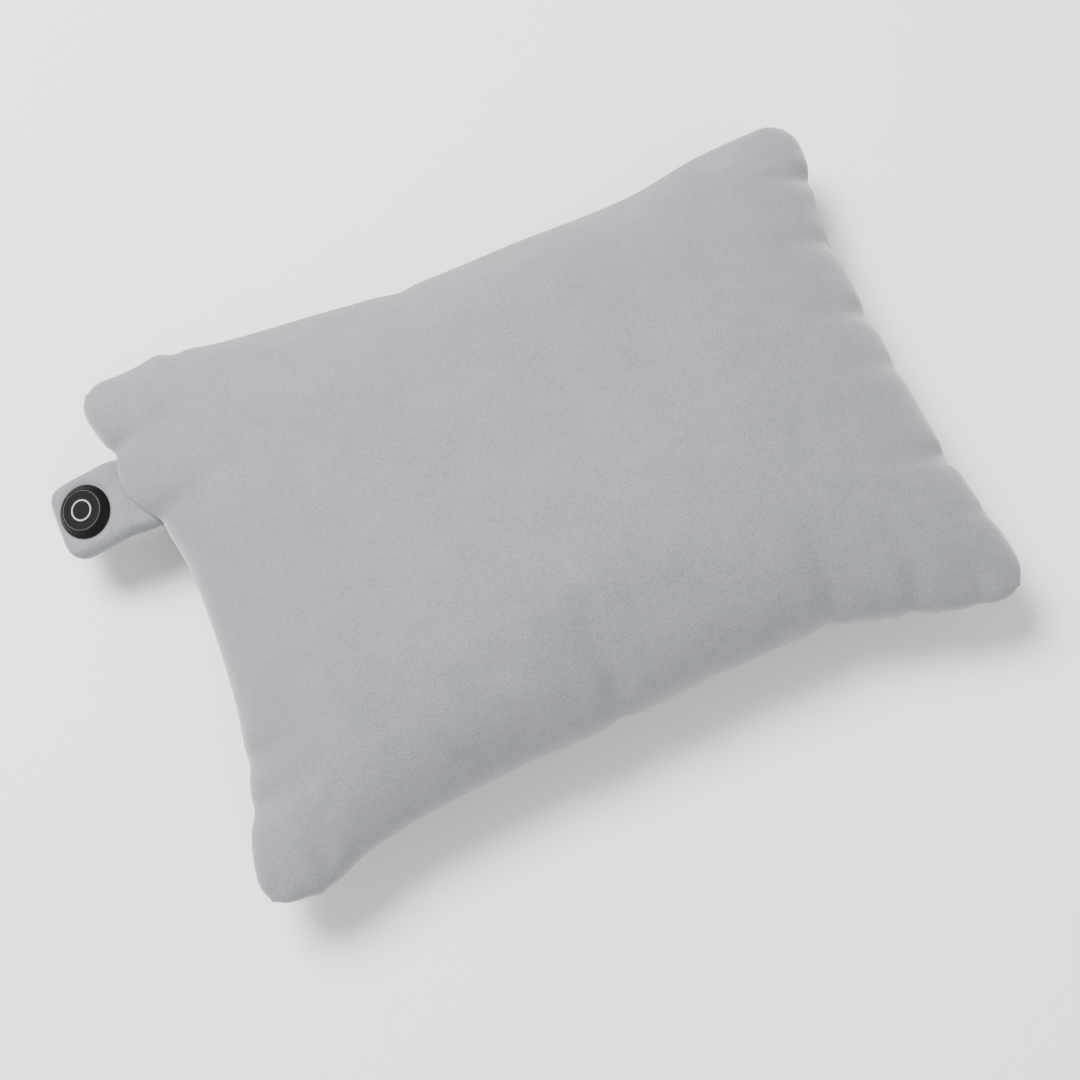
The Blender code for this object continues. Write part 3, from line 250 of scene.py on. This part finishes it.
def between(stations, at):
    """The stations' value at a place along them, on a smooth curve."""
    index = 0
    while index < len(stations) - 2 and at > stations[index + 1][0]:
        index += 1
    (start, low), (end, high) = stations[index:index + 2]
    before, after = stations[max(index - 1, 0)], stations[min(index + 2, len(stations) - 1)]
    span = end - start
    rise_in = (high - before[1]) / (end - before[0]) * span
    rise_out = (after[1] - low) / (after[0] - start) * span
    t = min(1.0, max(0.0, (at - start) / span))
    return (low * (1 - 3 * t * t + 2 * t ** 3) + high * (3 * t * t - 2 * t ** 3)
            + rise_in * (t - 2 * t * t + t ** 3) + rise_out * (t ** 3 - t * t))


def pucker(edge, along, distance=0.0):
    """How far the edge's puckers draw the cloth in at a place along it and a distance in from the seam."""
    widening = 0.8 + distance / (30 * MM)
    return sum(
        depth * MM * math.exp(-((along / MM - centre) / (half * widening)) ** 2)
        for centre, depth, half in PUCKERS[edge]
    )


def edges_at(u, v):
    """The names of the end and the side that the envelope's point (u, v), each -1 to 1, is nearer."""
    return "far_end" if u > 0 else "tab_end", "far_side" if v > 0 else "near_side"


def seam_plan(u, v):
    """Where the envelope's point (u, v) lies in plan."""
    x, y = u * TIP_X, v * TIP_Y
    over_x, over_y = abs(x) - (TIP_X - LOBE_RADIUS), abs(y) - (TIP_Y - LOBE_RADIUS)
    if over_x > 0 and over_y > 0:
        reach, slant = max(over_x, over_y), math.hypot(over_x, over_y)
        x = math.copysign(TIP_X - LOBE_RADIUS + over_x / slant * reach, x)
        y = math.copysign(TIP_Y - LOBE_RADIUS + over_y / slant * reach, y)
    end, side = edges_at(u, v)
    across = (between(EDGES[end], y / MM) * MM + pucker(end, y)) * abs(u) ** PULL_IN_FADE
    along = (between(EDGES[side], x / MM) * MM + pucker(side, x)) * abs(v) ** PULL_IN_FADE
    return x - math.copysign(across, u), y - math.copysign(along, v)


def plump(u, v):
    """How full the envelope is at (u, v): 0 at the seam, 1 in the middle."""
    return max(0.0, (1 - abs(u) ** 2.5) * (1 - abs(v) ** 2.5)) ** PLUMPNESS


def creased(u, v):
    """How deep the puckers' creases are at the envelope's point (u, v)."""
    end, side = edges_at(u, v)
    depth = 0.0
    for edge, along, inside in (
        (end, v * TIP_Y, (1 - abs(u)) * TIP_X),
        (side, u * TIP_X, (1 - abs(v)) * TIP_Y),
    ):
        fade = math.exp(-((inside / CREASE_REACH) ** 2)) * smoothstep(0, 5 * MM, inside)
        depth += CREASE_DEPTH * pucker(edge, along, inside) * fade
    return depth


def envelope(name, crown, belly, inset=0.0):
    """Two panels joined at the seam, crown above it and belly below it, set in from its line by inset."""
    panels = []
    for rise in (crown, -belly):
        bpy.ops.mesh.primitive_grid_add(x_subdivisions=CELLS_X, y_subdivisions=CELLS_Y, size=2)
        panel = bpy.context.object
        for vertex in panel.data.vertices:
            u, v = vertex.co.x, vertex.co.y
            x, y = seam_plan(u, v)
            height = rise * plump(u, v) - math.copysign(creased(u, v), rise)
            vertex.co = (x * (1 - inset / TIP_X), y * (1 - inset / TIP_Y), SEAM_Z + height)
        if rise < 0:
            panel.data.flip_normals()
        panels.append(panel)
    activate(*panels)
    bpy.ops.object.join()
    bpy.ops.object.mode_set(mode="EDIT")
    bpy.ops.mesh.select_all(action="SELECT")
    bpy.ops.mesh.remove_doubles(threshold=0.0001)
    bpy.ops.object.mode_set(mode="OBJECT")
    made = bpy.context.object
    made.name = made.data.name = name
    return made


def rest_on(obj, floor, softness):
    """Flattens what lies below the floor height, with a soft bend where it leaves the floor."""
    for vertex in obj.data.vertices:
        over = (vertex.co.z - floor) / softness
        vertex.co.z = floor + softness * (over if over > 20 else math.log1p(math.exp(over)))


def select_edges(obj, wanted):
    """In edit mode, selects only the edges that wanted(edge) is true for."""
    bpy.ops.mesh.select_mode(type="EDGE")
    bpy.ops.mesh.select_all(action="DESELECT")
    bm = bmesh.from_edit_mesh(obj.data)
    for edge in bm.edges:
        edge.select_set(wanted(edge))
    bmesh.update_edit_mesh(obj.data)


cover = envelope("plush_cover", CROWN, BELLY)
SEAM_REACH = 26 * MM  # how far above and below the seam its cloth has slack
seam_group = cover.vertex_groups.new(name="seam")
held_group = cover.vertex_groups.new(name="held")
start = [vertex.co.copy() for vertex in cover.data.vertices]
for vertex in cover.data.vertices:
    rise = abs(vertex.co.z - SEAM_Z)
    seam_group.add([vertex.index], 1 - smoothstep(0.0, SEAM_REACH, rise), "REPLACE")
    held_group.add([vertex.index], 1.0 if rise < ON_SEAM else 0.0, "REPLACE")

SIM_FRAMES = 16
TRAVEL = 5 * MM  # the most that the simulation may move a vertex
cloth = cover.modifiers.new("stuffing", "CLOTH")
settings = cloth.settings
settings.quality = 6
settings.mass = 0.3
settings.tension_stiffness = settings.compression_stiffness = 18
settings.shear_stiffness = 9
settings.bending_stiffness = 6
settings.tension_damping = settings.compression_damping = settings.shear_damping = 6
settings.bending_damping = 0.6
settings.air_damping = 3
settings.use_pressure = True
settings.uniform_pressure_force = 2.6
settings.vertex_group_shrink = "seam"
settings.shrink_min = -0.004
settings.shrink_max = -0.045
settings.vertex_group_mass = "held"
settings.effector_weights.gravity = 0
cloth.point_cache.frame_end = SIM_FRAMES
for step in range(1, SIM_FRAMES + 1):
    bpy.context.scene.frame_set(step)
apply_modifiers(cover)
bpy.context.scene.frame_set(1)
for vertex, origin in zip(cover.data.vertices, start):
    moved = vertex.co - origin
    if moved.length > 1e-9:
        vertex.co = origin + moved * (TRAVEL * math.tanh(moved.length / TRAVEL) / moved.length)
rest_on(cover, 0.0, REST_SOFTNESS)

# Over the tab's root the upper panel bulges out as a lip, between the two puckers beside the tab.
LIP_FROM, LIP_TO = 57 * MM, 105 * MM
LIP_OUT = 8 * MM
LIP_SINK = 0.35  # how far it hangs down, as a share of how far it stands out
LIP_FULL, LIP_FADING, LIP_GONE = 4 * MM, 9 * MM, 26 * MM  # heights above the seam
for vertex in cover.data.vertices:
    rise = vertex.co.z - SEAM_Z
    if vertex.co.x < 0 and rise > 0 and LIP_FROM < vertex.co.y < LIP_TO:
        part_way = (vertex.co.y - LIP_FROM) / (LIP_TO - LIP_FROM)
        lip = LIP_OUT * math.sin(math.pi * part_way) ** 0.8
        lip *= smoothstep(0, LIP_FULL, rise) * (1 - smoothstep(LIP_FADING, LIP_GONE, rise))
        vertex.co.x -= lip
        vertex.co.z -= LIP_SINK * lip

# The +Y seam stays open over the zip: its edge is split into two hems, and the slot between holds the zip.
SLIDER_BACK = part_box("zip_slider")[0][1]
SLOT_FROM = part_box("zip_tape_upper")[0][0] - 1 * MM
SLOT_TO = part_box("zip_puller")[1][0] + 2 * MM
HEM_HALF_GAP = 4.6 * MM
SLOT_FLOOR = SLIDER_BACK - 0.4 * MM


def over_zip(edge):
    """Whether an edge of the seam lies over the zip."""
    middle = (edge.verts[0].co + edge.verts[1].co) / 2
    on_seam = all(abs(end.co.z - SEAM_Z) < ON_SEAM for end in edge.verts)
    return on_seam and middle.y > 0 and SLOT_FROM < middle.x < SLOT_TO


activate(cover)
bpy.ops.object.mode_set(mode="EDIT")
select_edges(cover, over_zip)
bpy.ops.mesh.bevel(offset=HEM_HALF_GAP, offset_type="OFFSET", segments=1)
bpy.ops.mesh.select_mode(type="FACE")
bpy.ops.mesh.select_all(action="DESELECT")
bm = bmesh.from_edit_mesh(cover.data)
for face in bm.faces:
    middle = face.calc_center_median()
    face.select_set(
        abs(middle.z - SEAM_Z) < 1 * MM and middle.y > SLOT_FLOOR and abs(face.normal.z) < 0.5
        and SLOT_FROM - 2 * MM < middle.x < SLOT_TO + 2 * MM
    )
bmesh.update_edit_mesh(cover.data)
bpy.ops.mesh.extrude_region_move(TRANSFORM_OT_translate={"value": (0, -2 * MM, 0)})
bpy.ops.object.mode_set(mode="OBJECT")
for vertex in cover.data.vertices:
    if vertex.select:
        vertex.co.y = SLOT_FLOOR
cover.data.materials.append(PLUSH)
soft = cover.modifiers.new("soft", "SUBSURF")
soft.levels = soft.render_levels = 1
apply_modifiers(cover)
bpy.ops.object.shade_smooth()
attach(cover, "pillow")
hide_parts("cover_top_panel", "cover_bottom_panel")

# ---------------------------------------------------------------- inner pillow
# A plain white woven casing, filled with loose polyester fibre. It follows the cover's shape a little
# smaller, stays clear of the zip, and only shows when the cover is off.

weave, weave_in, weave_out = node_group(
    "plain_weave",
    [("Place", "NodeSocketVector"), ("Light", "NodeSocketColor"), ("Dark", "NodeSocketColor"),
     ("Threads", "NodeSocketFloat")],
    [("Color", "NodeSocketColor"), ("Roughness", "NodeSocketFloat"), ("Height", "NodeSocketFloat")],
)
split = weave.nodes.new("ShaderNodeSeparateXYZ")
weave.links.new(weave_in.outputs["Place"], split.inputs[0])
per_metre = weave_in.outputs["Threads"]
threads = [
    arithmetic(weave, "SINE", arithmetic(weave, "MULTIPLY", split.outputs[axis], per_metre), 0.0)
    for axis in range(3)
]
crossing = arithmetic(weave, "MULTIPLY", arithmetic(weave, "ADD", threads[0], threads[2]), threads[1])
slub = noise_node(weave, weave_in.outputs["Place"], 160, 2)
cloth_tone = arithmetic(
    weave, "ADD", spread(weave, crossing, -1.5, 1.5, 0.0, 0.6), spread(weave, slub, 0.3, 0.7, 0.0, 0.4)
)
mix_tones(weave, cloth_tone, weave_in, weave_out)
weave.links.new(spread(weave, slub, 0.3, 0.7, 0.8, 0.95), weave_out.inputs["Roughness"])
weave.links.new(cloth_tone, weave_out.inputs["Height"])


def woven(name, light, dark, threads_per_mm=1.6):
    """Plain-woven cloth whose threads vary between two colours."""
    made, tree, shader = principled(name, light, 0.9, Sheen_Weight=0.2)
    add_effect(
        tree, shader, weave, {"Color": "Base Color", "Roughness": "Roughness", "Height": 0.35},
        [("Light", (*light, 1)), ("Dark", (*dark, 1)), ("Threads", 2 * math.pi * threads_per_mm / MM)],
    )
    return made


def flossy(name, light, dark):
    """Loose fibre or felt: the plush's tufts without its sheen."""
    made, tree, shader = principled(name, light, 1.0)
    add_effect(
        tree, shader, nap, {"Color": "Base Color", "Height": 0.8},
        [("Light", (*light, 1)), ("Dark", (*dark, 1))],
    )
    return made


CASING = woven("casing_weave", (0.84, 0.84, 0.82), (0.7, 0.7, 0.68))
FIBRE = flossy("polyester_fibre", (0.93, 0.93, 0.93), (0.8, 0.8, 0.8))
FELT = flossy("felt", (0.63, 0.63, 0.61), (0.5, 0.5, 0.48))

INNER_SINK = 3 * MM  # how much further the inner pillow sinks than its smaller size alone would let it
ZIP_REACH = 8 * MM  # how far past each end of the zip's slot the inner pillow keeps back from it
for name, nodes, slot, cloth_material, inset, shallower in (
    ("inner_casing", ("inner_casing_top", "inner_casing_bottom"), "casing_white", CASING, 8 * MM, 7 * MM),
    ("fibre_stuffing", ("fibre_fill",), "fibre_white", FIBRE, 10 * MM, 9 * MM),
):
    inner = envelope(name, CROWN - shallower, BELLY - shallower, inset)
    rest_on(inner, shallower - INNER_SINK, REST_SOFTNESS)
    for vertex in inner.data.vertices:
        if SLOT_FROM - ZIP_REACH < vertex.co.x < SLOT_TO + ZIP_REACH and vertex.co.y > 0:
            vertex.co.y = min(vertex.co.y, SLOT_FLOOR - shallower / 8)
    inner.data.materials.append(cloth_material)
    activate(inner)
    bpy.ops.object.shade_smooth()
    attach(inner, "pillow")
    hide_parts(*nodes)


def dress(finish, *nodes):
    """Gives CAD nodes a finish in place of any they have."""
    for node in nodes:
        obj = bpy.data.objects[node]
        obj.data.materials.clear()
        obj.data.materials.append(finish)


dress(FELT, "heater_cover_felt", "heater_carrier_felt")
dress(woven("pocket_weave", (0.8, 0.8, 0.78), (0.66, 0.66, 0.64)), "battery_pocket")

# ---------------------------------------------------------------- control tab
# A plush sleeve over a foam pad, sewn into the seam. It puffs up round the controller, which presses it flat,
# and it bends where it leaves the seam. The pillow's edge bulges over its root.

TAB_HINGE = Vector((-203.2 * MM, 82 * MM, SEAM_Z))
TAB_DROOP = math.radians(17)
TAB_LENGTH, TAB_WIDTH = 38.5 * MM, 43 * MM
TAB_THICK, ROOT_THICK = 12 * MM, 10 * MM
TAB_CORNER = 11 * MM
TAB_EDGE_ROUND = 4.8 * MM
ROOT_IN = 15 * MM  # how far the sleeve runs in under the pillow's edge
BUTTON_X = -19.5 * MM
BEZEL_RADIUS = 14.2 * MM
PUFF = 1.1 * MM  # how far the sleeve stands up round the bezel
ROOT_SAG = 2.5 * MM  # how far the sleeve sinks under the pillow's edge



def on_tab(x, y, z, turn=TAB_DROOP):
    """The point x along, y across and z up from the tab's hinge, turned down with the tab."""
    return (
        TAB_HINGE.x + x * math.cos(turn) - z * math.sin(turn),
        TAB_HINGE.y + y,
        TAB_HINGE.z + x * math.sin(turn) + z * math.cos(turn),
    )


def upright_corner(edge):
    """Whether an edge of the sleeve stands up at one of its two free corners."""
    return all(end.co.x < 0 for end in edge.verts) and edge.verts[0].co.y * edge.verts[1].co.y > 0


def on_one_face(edge):
    """Whether an edge lies wholly on the sleeve's upper or lower face."""
    return edge.verts[0].co.z * edge.verts[1].co.z > 0


bpy.ops.mesh.primitive_cube_add(size=1)
sleeve = bpy.context.object
sleeve.name = sleeve.data.name = "tab_sleeve"
for vertex in sleeve.data.vertices:
    x, thick = (ROOT_IN, ROOT_THICK) if vertex.co.x > 0 else (-TAB_LENGTH, TAB_THICK)
    vertex.co = (x, vertex.co.y * TAB_WIDTH, vertex.co.z * thick)
bpy.ops.object.mode_set(mode="EDIT")
select_edges(sleeve, upright_corner)
bpy.ops.mesh.bevel(offset=TAB_CORNER, offset_type="OFFSET", segments=6)
select_edges(sleeve, on_one_face)
bpy.ops.mesh.bevel(offset=TAB_EDGE_ROUND, offset_type="OFFSET", segments=5)
bpy.ops.object.mode_set(mode="OBJECT")
remesh = sleeve.modifiers.new("even", "REMESH")
remesh.mode = "VOXEL"
remesh.voxel_size = 1.1 * MM
smooth = sleeve.modifiers.new("soft", "SMOOTH")
smooth.iterations = 6
apply_modifiers(sleeve)
for vertex in sleeve.data.vertices:
    x, y, z = vertex.co
    from_button = math.hypot(x - BUTTON_X, y)
    from_edge = min(TAB_WIDTH / 2 - abs(y), x + TAB_LENGTH)
    raised = PUFF * smoothstep(BEZEL_RADIUS - 1 * MM, BEZEL_RADIUS + 3 * MM, from_button)
    raised *= smoothstep(0, 4 * MM, from_edge) * smoothstep(1 * MM, 4 * MM, abs(z))
    height = z + math.copysign(raised, z) - ROOT_SAG * smoothstep(-5 * MM, 5 * MM, x)
    level = smoothstep(-9 * MM, 6 * MM, x)  # 0 on the tab, 1 inside the pillow
    vertex.co = on_tab(x, y, height, TAB_DROOP * (1 - level))
sleeve.data.materials.append(PLUSH)
activate(sleeve)
bpy.ops.object.shade_smooth()
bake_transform(sleeve)
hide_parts("tab_sleeve_top", "tab_sleeve_bottom", "tab_seam_strip")

# ---------------------------------------------------------------- push-button controller
# Moulded in black plastic with a fine satin grain. A milky light guide shows as a thin ring in the cap. A
# light grey hairline round the cap's edge is a painted highlight on the cap's rim. The board, screws and
# switch are inside.

grain, grain_in, grain_out = node_group(
    "fine_grain",
    [("Place", "NodeSocketVector"), ("Light", "NodeSocketColor"), ("Dark", "NodeSocketColor"),
     ("Scale", "NodeSocketFloat"), ("Smooth", "NodeSocketFloat"), ("Rough", "NodeSocketFloat")],
    [("Color", "NodeSocketColor"), ("Roughness", "NodeSocketFloat"), ("Height", "NodeSocketFloat")],
)
fine = noise_node(grain, grain_in.outputs["Place"], 1.0, 2)
grain.links.new(grain_in.outputs["Scale"], fine.node.inputs["Scale"])
worn = noise_node(grain, grain_in.outputs["Place"], 120, 3)
mix_tones(grain, spread(grain, worn, 0.35, 0.7, 0.0, 1.0), grain_in, grain_out)
rough_mix = grain.nodes.new("ShaderNodeMix")
grain.links.new(spread(grain, worn, 0.3, 0.7, 0.0, 1.0), rough_mix.inputs["Factor"])
grain.links.new(grain_in.outputs["Smooth"], rough_mix.inputs["A"])
grain.links.new(grain_in.outputs["Rough"], rough_mix.inputs["B"])
grain.links.new(rough_mix.outputs["Result"], grain_out.inputs["Roughness"])
grain.links.new(fine, grain_out.inputs["Height"])


def grained(name, light, dark, roughness, metallic=0.0, scale=3000, bump=0.06, **others):
    """A hard material with a fine grain and slight wear. roughness is (smoothest, roughest)."""
    made, tree, shader = principled(name, light, roughness[1], metallic, **others)
    add_effect(
        tree, shader, grain, {"Color": "Base Color", "Roughness": "Roughness", "Height": bump},
        [("Light", (*light, 1)), ("Dark", (*dark, 1)), ("Scale", scale), ("Smooth", roughness[0]),
         ("Rough", roughness[1])],
    )
    return made


BLACK = grained("black_plastic_grain", (0.006, 0.006, 0.0065), (0.0035, 0.0035, 0.004), (0.5, 0.62))
black_shader = BLACK.node_tree.nodes["Principled BSDF"]
black_shader.inputs["Specular IOR Level"].default_value = 0.12
BOARD = grained("circuit_board", (0.02, 0.17, 0.07), (0.012, 0.12, 0.05), (0.3, 0.5), scale=900)
STEEL = grained("steel_grain", (0.62, 0.62, 0.62), (0.5, 0.5, 0.5), (0.22, 0.4), 1.0, scale=1800)
CABLE = grained("cable_jacket", (0.02, 0.02, 0.02), (0.013, 0.013, 0.013), (0.42, 0.6), scale=1500)
LIT = grained("lit_guide", (0.36, 0.38, 0.41), (0.3, 0.32, 0.35), (0.3, 0.45))
lit_shader = LIT.node_tree.nodes["Principled BSDF"]
lit_shader.inputs["Emission Color"].default_value = (0.85, 0.9, 1.0, 1)
lit_shader.inputs["Emission Strength"].default_value = 0.06

dress(BLACK, "button_bezel", "button_cap", "controller_housing", "switch_body", "switch_plunger")
dress(BOARD, "control_board", "battery_board")
dress(STEEL, "housing_screw_1", "housing_screw_2", "housing_screw_3", "battery_socket")
dress(CABLE, "controller_cable", "cable_grommet", "heater_lead", "battery_lead")
dress(LIT, "light_ring", "led_1", "led_2", "led_3", "led_4")
dress(flossy("tab_foam", (0.78, 0.78, 0.75), (0.66, 0.66, 0.63)), "tab_padding")
for node in ("button_bezel", "button_cap", "light_ring"):
    activate(bpy.data.objects[node])
    bpy.ops.object.shade_smooth_by_angle(angle=math.radians(32))

# The hairline is a light grey torus round the cap's edge: a painted highlight on the cap's rim, not a lamp.
CAP_TOP = 10.7 * MM
CAP_EDGE_RADIUS = 10.45 * MM
HAIRLINE_RADIUS = 0.13 * MM
HAIRLINE_DOWN = 0.2 * MM
bpy.ops.object.select_all(action="DESELECT")
bpy.ops.mesh.primitive_torus_add(
    major_radius=CAP_EDGE_RADIUS, minor_radius=HAIRLINE_RADIUS, major_segments=96, minor_segments=8
)
hairline = bpy.context.object
hairline.name = hairline.data.name = "cap_edge_painted_highlight"
for vertex in hairline.data.vertices:
    x, y, z = vertex.co
    vertex.co = on_tab(x + BUTTON_X, y, z + CAP_TOP - HAIRLINE_DOWN)
EDGE_HIGHLIGHT_PAINT = grained("painted_edge_highlight", (0.13, 0.135, 0.145), (0.09, 0.095, 0.1), (0.3, 0.45))
hairline.data.materials.append(EDGE_HIGHLIGHT_PAINT)
bpy.ops.object.shade_smooth()
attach(hairline, "tab")

# ---------------------------------------------------------------- battery and heating wire
# A moulded black plastic battery case with two foil-wrapped cells in it, and a heating wire with a red
# silicone jacket, laid in loops between two felts.

dress(BLACK, "battery_case_base", "battery_case_lid", "battery_plug", "thermistor")
FOIL = grained("cell_foil", (0.66, 0.67, 0.69), (0.55, 0.56, 0.58), (0.28, 0.42), 0.6)
SILICONE = grained("heater_silicone", (0.46, 0.05, 0.04), (0.36, 0.035, 0.03), (0.42, 0.6))
dress(FOIL, "battery_cell_left", "battery_cell_right")
dress(SILICONE, "heater_wire")

# ---------------------------------------------------------------- zip
# A nylon coil zip. Its two rows of teeth are coiled nylon, woven to their tapes, with a stop at each end. The
# slider and its flat puller are die-cast and painted.

TAPE = woven("zip_tape_weave", (0.36, 0.37, 0.39), (0.27, 0.28, 0.3), 1.2)
NYLON = grained("nylon_coil", (0.38, 0.39, 0.41), (0.3, 0.31, 0.33), (0.4, 0.55), scale=1500)
PAINTED = grained("painted_zip_metal", (0.27, 0.28, 0.29), (0.2, 0.21, 0.22), (0.28, 0.42), 0.9, scale=1200)
dress(TAPE, "zip_tape_upper", "zip_tape_lower")
dress(PAINTED, "zip_top_stop", "zip_bottom_stop", "zip_slider", "zip_puller")

PITCH = 1.6 * MM
TOOTH_WIRE = 0.3 * MM  # the wire's radius
TOOTH_LEAN = 0.25
for node in ("zip_coil_upper", "zip_coil_lower"):
    low, high = map(Vector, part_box(node))
    size, middle = high - low, (low + high) / 2
    turns = int(size.x / PITCH)
    bpy.ops.object.select_all(action="DESELECT")
    bpy.ops.mesh.primitive_torus_add(
        major_radius=size.y / 2 - TOOTH_WIRE, minor_radius=TOOTH_WIRE, major_segments=10, minor_segments=6,
        rotation=(0, math.pi / 2, 0),
    )
    row = bpy.context.object
    bpy.ops.object.transform_apply(location=False, rotation=True, scale=False)
    for vertex in row.data.vertices:
        vertex.co.x += TOOTH_LEAN * vertex.co.z
        vertex.co += Vector((low.x + (size.x - (turns - 1) * PITCH) / 2, middle.y, middle.z))
    repeat = row.modifiers.new("teeth", "ARRAY")
    repeat.use_relative_offset = False
    repeat.use_constant_offset = True
    repeat.constant_offset_displace = (PITCH, 0, 0)
    repeat.count = turns
    apply_modifiers(row)
    row.name = row.data.name = node.replace("zip_coil", "coil_teeth")
    row.data.materials.append(NYLON)
    bpy.ops.object.shade_smooth()
    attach(row, "pillow")
    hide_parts(node)

# ---------------------------------------------------------------- floor, light and camera
# A plain pale paper floor, a soft key light high over the corner between tab and zip, and a wide, weaker fill
# from the other side. The camera looks down steeply from the side away from the zip, turned towards the tab.

bpy.ops.object.select_all(action="DESELECT")
bpy.ops.mesh.primitive_plane_add(size=8, location=(0, 0, 0))
floor = bpy.context.object
floor.name = "floor"
paper, _, _ = principled("paper", (0.97, 0.97, 0.97), 0.95)
floor.data.materials.append(paper)

world = bpy.data.worlds.new("studio")
bpy.context.scene.world = world
world.use_nodes = True
world.node_tree.nodes["Background"].inputs["Color"].default_value = (1, 1, 1, 1)
world.node_tree.nodes["Background"].inputs["Strength"].default_value = 0.62


def area_light(name, position, target, size, energy):
    """A square lamp at position that shines at target."""
    light = bpy.data.lights.new(name, "AREA")
    light.energy = energy
    light.size = size
    holder = bpy.data.objects.new(name, light)
    holder.location = position
    holder.rotation_euler = (Vector(position) - Vector(target)).to_track_quat("Z", "Y").to_euler()
    bpy.context.scene.collection.objects.link(holder)


PILLOW_MIDDLE = (0, 0, 0.05)
area_light("key", (-0.5, 0.8, 1.7), PILLOW_MIDDLE, 0.8, 78)
area_light("fill", (0.3, -1.5, 1.3), PILLOW_MIDDLE, 1.8, 17)

camera = bpy.data.objects.new("camera", bpy.data.cameras.new("camera"))
bpy.context.scene.collection.objects.link(camera)
bpy.context.scene.camera = camera
AZIMUTH, ELEVATION = math.radians(-23.1), math.radians(73.3)
TARGET = Vector((-12.7 * MM, -25.9 * MM, 50 * MM))
DISTANCE = 903 * MM
back = Vector((
    math.sin(AZIMUTH) * math.cos(ELEVATION), -math.cos(AZIMUTH) * math.cos(ELEVATION), math.sin(ELEVATION)
))
camera.data.lens = 58.4
camera.location = TARGET + back * DISTANCE
camera.rotation_euler = back.to_track_quat("Z", "Y").to_euler()
